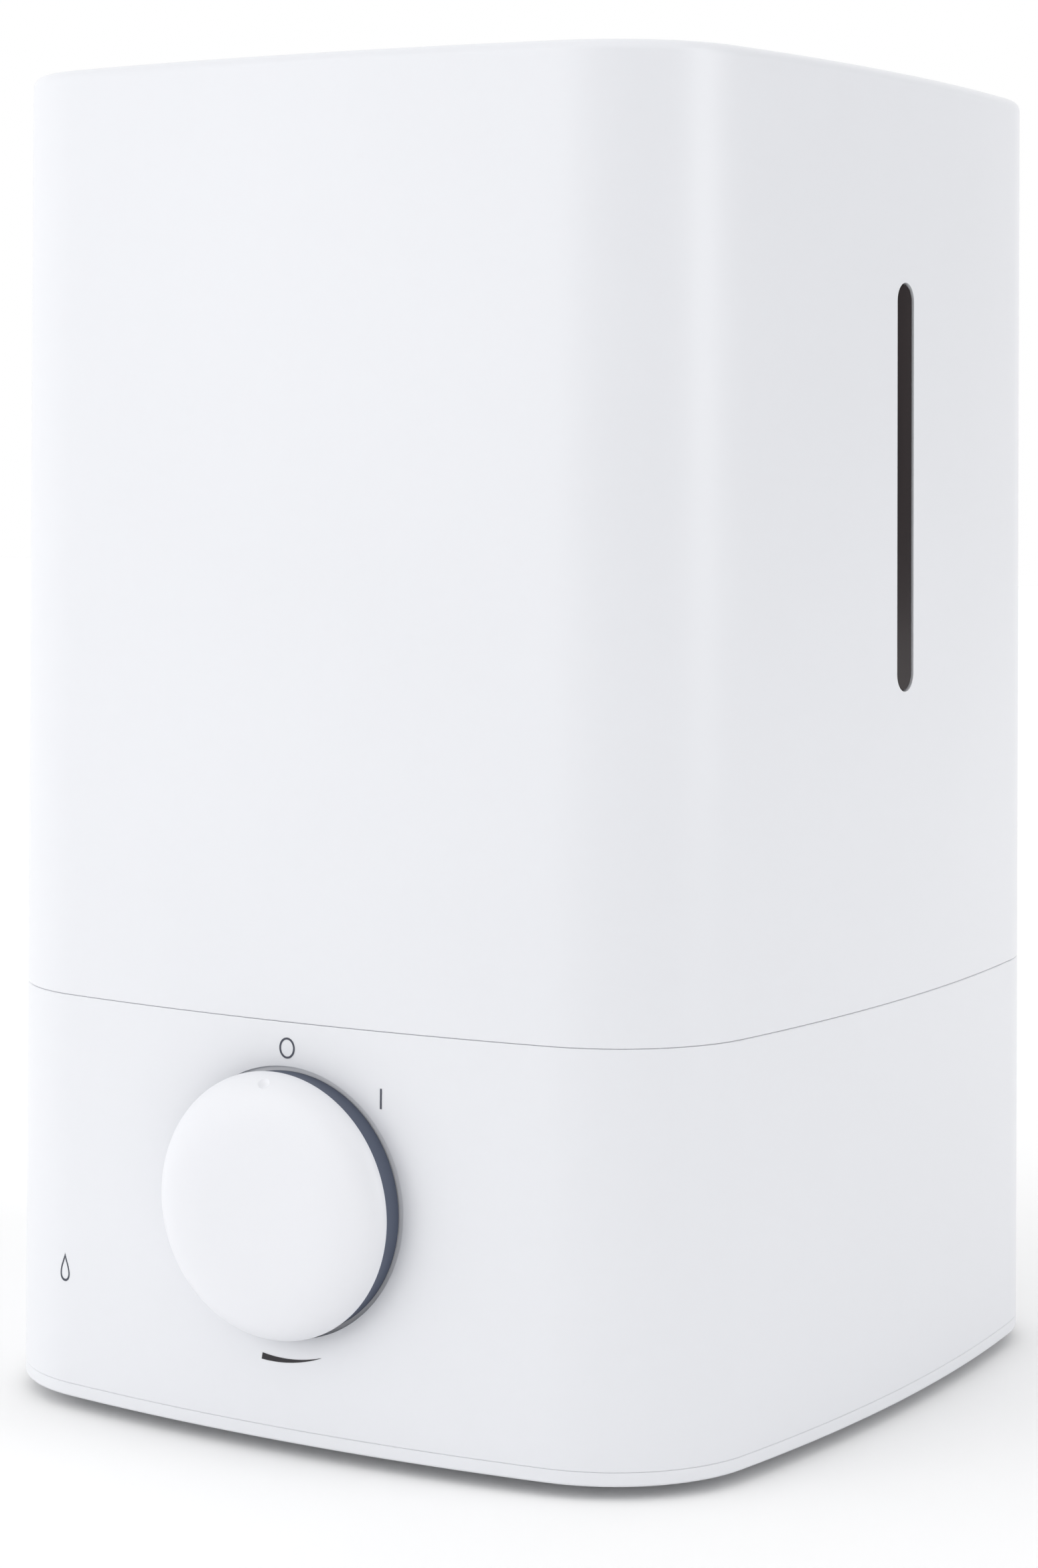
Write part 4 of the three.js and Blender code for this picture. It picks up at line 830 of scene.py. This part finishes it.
# A flat band between two strings of points (x, z), drawn just in front of the wall.
def band(name, first, second):
    front = (dialFace - 3) * mm + middleY
    lines = [[Vector((x * mm, front, z * mm)) for x, z in line] for line in (first, second)]
    piece = traceChain(name, lines[0])
    selectMesh("DESELECT")
    objectMode()
    other = traceChain(name, lines[1])
    objectMode()
    deselectAll()
    other.select_set(True)
    piece.select_set(True)
    bpy.context.view_layer.objects.active = piece
    bpy.ops.object.join()
    editMode()
    selectMesh()
    bpy.ops.mesh.bridge_edge_loops()
    objectMode()
    return piece


def around(x, z, halfX, halfZ, steps=64):
    angles = [2 * math.pi * i / steps for i in range(steps + 1)]
    return [(x + halfX * math.sin(a), z + halfZ * math.cos(a)) for a in angles]


halfX, halfZ = marks["offSize"][0] / 2, marks["offSize"][1] / 2
outer = around(0, marks["offZ"], halfX, halfZ)
inner = around(0, marks["offZ"], halfX - marks["line"], halfZ - marks["line"])
printMark(band("markOff", outer, inner))
left, right = marks["onX"] - marks["line"] / 2, marks["onX"] + marks["line"] / 2
low, high = marks["onZ"] - marks["onHeight"] / 2, marks["onZ"] + marks["onHeight"] / 2
heights = [low + (high - low) * i / 6 for i in range(7)]
printMark(band("markOn", [(left, z) for z in heights], [(right, z) for z in heights]))
sweepOuter, sweepInner = [], []
for i in range(marks["sweepSteps"] + 1):
    share = i / marks["sweepSteps"]
    a = math.radians(marks["sweepFrom"] + (marks["sweepTo"] - marks["sweepFrom"]) * share)
    tip = marks["sweepRadius"] + marks["sweepStart"] + marks["sweepWidth"] * share
    for line, radius in ((sweepInner, marks["sweepRadius"]), (sweepOuter, tip)):
        line.append((radius * math.sin(a), house["dialZ"] + radius * math.cos(a)))
printMark(band("markSweep", sweepInner, sweepOuter), "darkInk")


# A drop: a round bottom and two hollow sides that meet in a point.
def dropLine(radius, tall, steps=48):
    line = []
    dropX, dropZ = marks["drop"]
    for i in range(steps + 1):
        a = 2 * math.pi * i / steps
        across = radius * math.sin(a) * math.sin(a / 2) ** marks["dropPinch"]
        line.append((dropX + across, dropZ - radius + tall * (1 + math.cos(a)) / 2))
    return line


dropRadius, (wide, tall) = marks["dropRadius"], marks["dropInner"]
outer = dropLine(dropRadius, dropRadius * marks["dropTall"])
inner = dropLine(dropRadius * wide, dropRadius * tall)
printMark(band("markDrop", outer, inner))
print("marks done")

tank = {
    "seam": 91.73, "seamRound": 0.3, "wall": 2.6, "rim": 289.7, "rimRound": 2.4, "cove": 1.6,
    "collarInset": 10, "collarRound": 0.9, "collarLedge": 281, "ledgeReach": 13, "shelf": 2.5,
    "slotWidth": 8, "slotLow": 158.3, "slotHigh": 245.5, "slotCut": 9, "slotSteps": 28,
}
slotZ = (tank["slotLow"] + tank["slotHigh"]) / 2
slotFace = bodyShape["width"] / 2 - leanAt(slotZ)
leanAngle = math.atan2(bodyShape["draft"], bodyShape["rim"] - bodyShape["lowerEdge"])


# Tilts a piece about the middle of the slot, as the wall leans.
def leaned(piece):
    activate(piece)
    pivot = Vector((slotFace, 0, slotZ)) * mm
    turning = Matrix.Rotation(-leanAngle, 4, "Y")
    piece.matrix_world = Matrix.Translation(pivot) @ turning @ Matrix.Translation(-pivot)
    applyPlace()
    return piece


wall, collar, ledge, reach = tank["wall"], tank["collarInset"], tank["collarLedge"], tank["ledgeReach"]
rimUnder, shelfUnder, cove = tank["rim"] - wall, ledge - tank["shelf"], tank["cove"]
shell = sweepBody("tankSkin", [
    *roundCorner(0, tank["seam"], tank["seamRound"], 270, 180, 5),
    *roundCorner(0, tank["rim"], tank["rimRound"], 180, 90, 14),
    *roundCorner(collar, tank["rim"], tank["collarRound"], 90, 0, 5),
    (collar, ledge), (reach, ledge), (reach, shelfUnder), (collar - wall, shelfUnder),
    (collar - wall, rimUnder), (wall + cove, rimUnder), (wall, rimUnder - cove), (wall, tank["seam"]),
])
slotLength, slotWidth, slotSteps = tank["slotHigh"] - tank["slotLow"], tank["slotWidth"], tank["slotSteps"]
place = (slotFace, 0, slotZ)
slot = stadium("slot", place, slotLength, slotWidth, alongZ, alongX, tank["slotCut"], slotSteps)
carve(shell, leaned(slot))
complete(shell, "tank", "white_shell", "shell", "tank_shell")

window = {"clearance": 0.3, "recess": 0.3, "flange": 2.8, "thickness": 1.5, "round": 0.35, "intoFlange": 0.5}
gap, rim, thick = 2 * window["clearance"], 2 * window["flange"], window["thickness"]
inside, outside = slotFace - wall - window["clearance"], slotFace - window["recess"]
deep = outside - inside + window["intoFlange"]
place = (outside - deep / 2, 0, slotZ)
pane = stadium("levelWindow", place, slotLength - gap, slotWidth - gap, alongZ, alongX, deep, slotSteps)
place = (inside - thick / 2, 0, slotZ)
flange = stadium("flange", place, slotLength + rim, slotWidth + rim, alongZ, alongX, thick, slotSteps)
join(pane, flange)
softenEdges(pane, window["round"], 3)
complete(leaned(pane), "tank", "smoked_window", "smoked", "water_window")

dish = {
    "skirtOuter": 11, "skirtInner": 13.5, "under": 83.7, "top": 86.2, "flangeLow": 92.55, "flangeHigh": 95.15,
    "edge": 2.9, "rounds": (1.8, 0.8, 1.5), "chimneyHole": 18.3, "valveHole": 7,
}
outerRound, lipRound, innerRound = dish["rounds"]
tankDish = sweepBody("tankDish", [
    *roundCorner(dish["skirtOuter"], dish["under"], outerRound, 270, 180, 5),
    (dish["skirtOuter"], dish["flangeLow"]), (dish["edge"], dish["flangeLow"]),
    (dish["edge"], dish["flangeHigh"]),
    *roundCorner(dish["skirtInner"], dish["flangeHigh"], lipRound, 90, 0, 4),
    *roundCorner(dish["skirtInner"], dish["top"], innerRound, 180, 270, 5),
], closed=False)
low, high = dish["under"] - past, dish["top"] + past
carve(tankDish, rod(dish["chimneyHole"], low, high, steps=96))
carve(tankDish, rod(dish["valveHole"], low, high, valvePlace, steps=64))
complete(tankDish, "tank", "white_shell", "lining", "tank_floor")

flue = {
    "inner": 16, "outer": 18, "bottom": 75.7, "bottomEdge": 0.4, "top": 268, "topEdge": 0.6,
    "flange": 23, "flangeLow": 87.8, "flangeHigh": 90.0, "flangeEdge": 0.5, "cove": 1,
}
inner, outer, flange, flangeHigh = flue["inner"], flue["outer"], flue["flange"], flue["flangeHigh"]
bottom, top, cove, flangeEdge = flue["bottom"], flue["top"], flue["cove"], flue["flangeEdge"]
bottomEdge, topEdge = flue["bottomEdge"], flue["topEdge"]
mistFlue = turn("mistFlue", [
    (inner, bottom + bottomEdge), (inner + bottomEdge, bottom), (outer - bottomEdge, bottom),
    (outer, bottom + bottomEdge), (outer, flue["flangeLow"]), (flange, flue["flangeLow"]),
    (flange, flangeHigh - flangeEdge), (flange - flangeEdge, flangeHigh), (outer + cove, flangeHigh),
    (outer, flangeHigh + cove), (outer, top - topEdge), (outer - topEdge, top), (inner + topEdge, top),
    (inner, top - topEdge),
], steps=96)
complete(mistFlue, "tank", "white_shell", "lining", "mist_chimney")
sealShares = [(0.813, 0), (0.98, 0), (1, 0.3), (1, 0.7), (0.98, 1), (0.813, 1)]
turnInBox("flueSeal", "chimney_seal", sealShares, "tank", "silicone", "silicone", 96)

cage = {
    "radius": 14.4, "wall": 2.4, "low": 86.5, "high": 106.5, "roof": 2, "topEdge": 1, "stem": 2.4,
    "foot": 15.4, "footHigh": 88.5, "footEdge": 0.3,
    "window": 16, "windowLow": 89.5, "windowHigh": 103.5, "windowRound": 1.5, "windows": 3,
}
radius, low, high, footHigh = cage["radius"], cage["low"], cage["high"], cage["footHigh"]
inner, ceiling, topEdge = radius - cage["wall"], high - cage["roof"], cage["topEdge"]
valveBasket = turn("valveBasket", [
    (inner, low), (cage["foot"], low), (cage["foot"], footHigh - cage["footEdge"]),
    (cage["foot"] - cage["footEdge"], footHigh), (radius, footHigh), (radius, high - topEdge),
    (radius - topEdge, high), (cage["stem"], high), (cage["stem"], ceiling), (inner, ceiling),
], valvePlace, steps=72)
half = cage["window"] / 2
opening = block((0, -half, cage["windowLow"]), (cage["foot"], half, cage["windowHigh"]))
softenEdges(opening, cage["windowRound"], 4)
for i in range(cage["windows"]):
    turned = copyTo(opening, "opening", (0, 0))
    turned.rotation_euler.z = 2 * math.pi * i / cage["windows"]
    turned.location = Vector((*valvePlace, 0)) * mm
    applyPlace()
    carve(valveBasket, turned)
remove(opening)
complete(valveBasket, "tank", "inner_plastic", "basin", "valve_cage")

valve = {"stem": 2, "plate": 10, "thickness": 2, "edge": 0.5, "cove": 1, "topEdge": 0.6, "gap": 0.3}
plungerLow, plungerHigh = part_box("valve_plunger")
bottom, top, edge, topEdge = plungerLow.z / mm, plungerHigh.z / mm, valve["edge"], valve["topEdge"]
stem, disc, cove = valve["stem"], valve["plate"], valve["cove"]
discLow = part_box("valve_seal")[1].z / mm + valve["gap"]
discHigh = discLow + valve["thickness"]
plunger = turn("valvePlunger", [
    (0, bottom), (stem - edge, bottom), (stem, bottom + edge), (stem, discLow), (disc, discLow),
    (disc, discHigh - edge), (disc - edge, discHigh), (stem + cove, discHigh), (stem, discHigh + cove),
    (stem, top - topEdge), (stem - topEdge, top), (0, top),
], valvePlace, steps=64)
complete(plunger, "valve", "inner_plastic", "basin", "valve_plunger")
valveShares = [(0.243, 0), (0.97, 0), (1, 0.4), (1, 0.6), (0.97, 1), (0.243, 1)]
turnInBox("valveSeal", "valve_seal", valveShares, "valve", "silicone", "silicone", 64)
print("tank done")

lid = {
    "inset": 10.6, "low": 281.3, "top": 288.2, "thickness": 2.6, "edge": 1.3, "band": 2.2,
    "dish": 52, "dishWall": 2.2, "dishTop": 274.2, "dishUnder": 272, "dishRound": 1.5, "dishEdge": 1,
    "spigotHole": 15.3,
}
plate = sweepBody("lidPlate", [
    (lid["inset"] + lid["band"], lid["top"] - lid["thickness"]),
    (lid["inset"] + lid["band"], lid["low"]), (lid["inset"], lid["low"]),
    *roundCorner(lid["inset"], lid["top"], lid["edge"], 180, 90, 8),
], closed=False)
under, top, dishEdge = lid["dishUnder"], lid["top"], lid["dishEdge"]
intoPlate = top - lid["thickness"] / 2
tray = turn("tray", [
    (0, under), (lid["dish"] - dishEdge, under), (lid["dish"], under + dishEdge), (lid["dish"], intoPlate),
    (0, intoPlate),
], steps=144)
join(plate, tray)
dishInner, dishTop = lid["dish"] - lid["dishWall"], lid["dishTop"]
hollow = turn("hollow", [
    (0, dishTop), *roundCorner(dishInner, dishTop, lid["dishRound"], 270, 360, 6),
    *roundCorner(dishInner, top, dishEdge, 180, 90, 5), (dishInner + dishEdge, top + past), (0, top + past),
], steps=144)
carve(plate, hollow)
carve(plate, rod(lid["spigotHole"], under - past, dishTop + past, steps=96))
complete(plate, "lid", "white_shell", "shell", "tank_lid")

spout = {
    "radius": 25, "wall": 2.2, "low": 274.5, "high": 288.6, "spigot": 15, "spigotWall": 1.8, "spigotLow": 262,
    "edge": 0.4, "slotLength": 30, "slotWidth": 9, "slotY": -9.5, "slotCut": 10,
    # the rounded top outside and inside: steps in from the side and down from the top
    "dome": [(0, 6), (0.25, 4.6), (0.95, 3.3), (2.1, 2.2), (3.8, 1.35), (6.5, 0.75), (10, 0.38), (17, 0.12)],
    "domeInside": [(9, 0.3), (4, 1.1), (1.5, 2.6), (0, 5)],
}
top, ceiling, radius = spout["high"], spout["high"] - spout["wall"], spout["radius"]
spoutInner, spigot = radius - spout["wall"], spout["spigot"]
spigotBore, floorHigh, edge = spigot - spout["spigotWall"], spout["low"] + spout["wall"], spout["edge"]
mistSpout = turn("mistSpout", [
    (0, ceiling), *((spoutInner - inwards, ceiling - down) for inwards, down in spout["domeInside"]),
    (spoutInner, floorHigh), (spigotBore, floorHigh), (spigotBore, spout["spigotLow"]),
    (spigot - edge, spout["spigotLow"]), (spigot, spout["spigotLow"] + edge), (spigot, spout["low"]),
    (radius - edge, spout["low"]), (radius, spout["low"] + edge),
    *((radius - inwards, top - down) for inwards, down in spout["dome"]), (0, top),
], steps=120)
slot = stadium("spoutSlot", (0, spout["slotY"], ceiling), spout["slotLength"], spout["slotWidth"],
               alongX, alongZ, spout["slotCut"])
carve(mistSpout, slot)
complete(mistSpout, "nozzle", "white_shell", "cap", "mist_nozzle")
print("lid and nozzle done")

# The inner parts keep their own shape and get a finish.
innerParts = {
    "steel": ["clamp_screw_left", "clamp_screw_right", "fan_screw_front", "fan_screw_rear",
              "board_screw_1", "board_screw_2", "knob_shaft", "valve_spring", "power_jack_nut"],
    "aluminium": ["transducer_clamp", "heat_sink", "potentiometer"],
    "brass": ["potentiometer_nut"],
    "black": ["fan_frame", "fan_rotor", "power_transistor", "capacitor", "float_switch", "float_magnet"],
    "board": ["control_board"],
    "copper": ["induction_coil"],
    "basin": ["board_connector"],
    "sleeve": ["potentiometer_lead", "transducer_lead", "fan_lead", "power_lead"],
}
for name, nodes in innerParts.items():
    for node in nodes:
        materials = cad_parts[node].data.materials
        materials.clear()
        materials.append(finishes[name])
print("inner parts finished")

# The surround is a round tent: bright panels at the left front and right, darker between them.
studio = {
    "floorSize": 8, "floorColour": (0.965, 0.965, 0.968), "floorLight": (0.98, 0.98, 0.98),
    "peak": 4.0, "overhead": 1.02, "overheadFrom": (0.5, 0.77),  # sine of the height where it begins
    "panels": [  # direction in degrees from the right side, and brightness there
        (-180, 1.0), (-144, 1.5), (-126, 2.6), (-105, 2.4), (-90, 1.65), (-74, 0.3), (-54, 0.0),
        (-36, 0.05), (-18, 0.3), (-5, 1.1), (1, 4.0), (12, 4.0), (21, 1.6), (36, 0.45), (54, 0.1), (75, 0.55),
        (90, 1.0), (180, 1.0),
    ],
}
deselectAll()
bpy.ops.mesh.primitive_plane_add(size=studio["floorSize"])
floor = bpy.context.object
floor.name = "floor"
material, shader, place = newFinish("floor", {"Roughness": 0.9, "Specular IOR Level": 0.1})
cloud = noise(place, 3, 2.0).spread(0.3, 0.7)
drive(shader, colour=cloud.between(studio["floorColour"], studio["floorLight"]))
floor.data.materials.append(material)

world = bpy.data.worlds.new("studio")
bpy.context.scene.world = world
world.use_nodes = True
background = world.node_tree.nodes["Background"]
background.inputs["Strength"].default_value = studio["peak"]
direction = Wire(world.node_tree).node("ShaderNodeTexCoord")
share = direction.maths("ARCTAN2", direction.axis(1), direction.axis(0)) * (0.5 / math.pi) + 0.5
stops = [(angle / 360 + 0.5, (light / studio["peak"],) * 3) for angle, light in studio["panels"]]
panels = share.node("ShaderNodeValToRGB", {"stops": stops}, {0: share})
overhead = (studio["overhead"] / studio["peak"],) * 3
tent = direction.axis(2).spread(*studio["overheadFrom"]).between(panels, overhead)
cameraRay = Wire(world.node_tree).node("ShaderNodeLightPath")
seen = cameraRay.between(tent, (1 / studio["peak"],) * 3)  # the backdrop itself is white
world.node_tree.links.new(seen.socket, background.inputs["Color"])

view = {
    "place": (0.4274, -0.69417, 0.2134), "across": (0.8506, 0.5259), "pitch": 0.0975, "roll": 0.0044,
    "lens": 82.5, "sensor": 36, "clip": (0.01, 50),
}
rightX, rightY = view["across"]
pitch, roll = view["pitch"], view["roll"]
right = Vector((rightX, rightY, 0))
forward = Vector((-rightY * math.cos(pitch), rightX * math.cos(pitch), -math.sin(pitch)))
up = right.cross(forward)
right, up = right * math.cos(roll) + up * math.sin(roll), up * math.cos(roll) - right * math.sin(roll)
turning = Matrix((right, up, -forward)).transposed().to_4x4()
deselectAll()
bpy.ops.object.camera_add()
camera = bpy.context.object
camera.matrix_world = Matrix.Translation(view["place"]) @ turning
camera.data.lens, camera.data.sensor_width = view["lens"], view["sensor"]
camera.data.clip_start, camera.data.clip_end = view["clip"]
bpy.context.scene.camera = camera
bpy.context.scene.view_settings.view_transform = "Standard"
print("studio done")
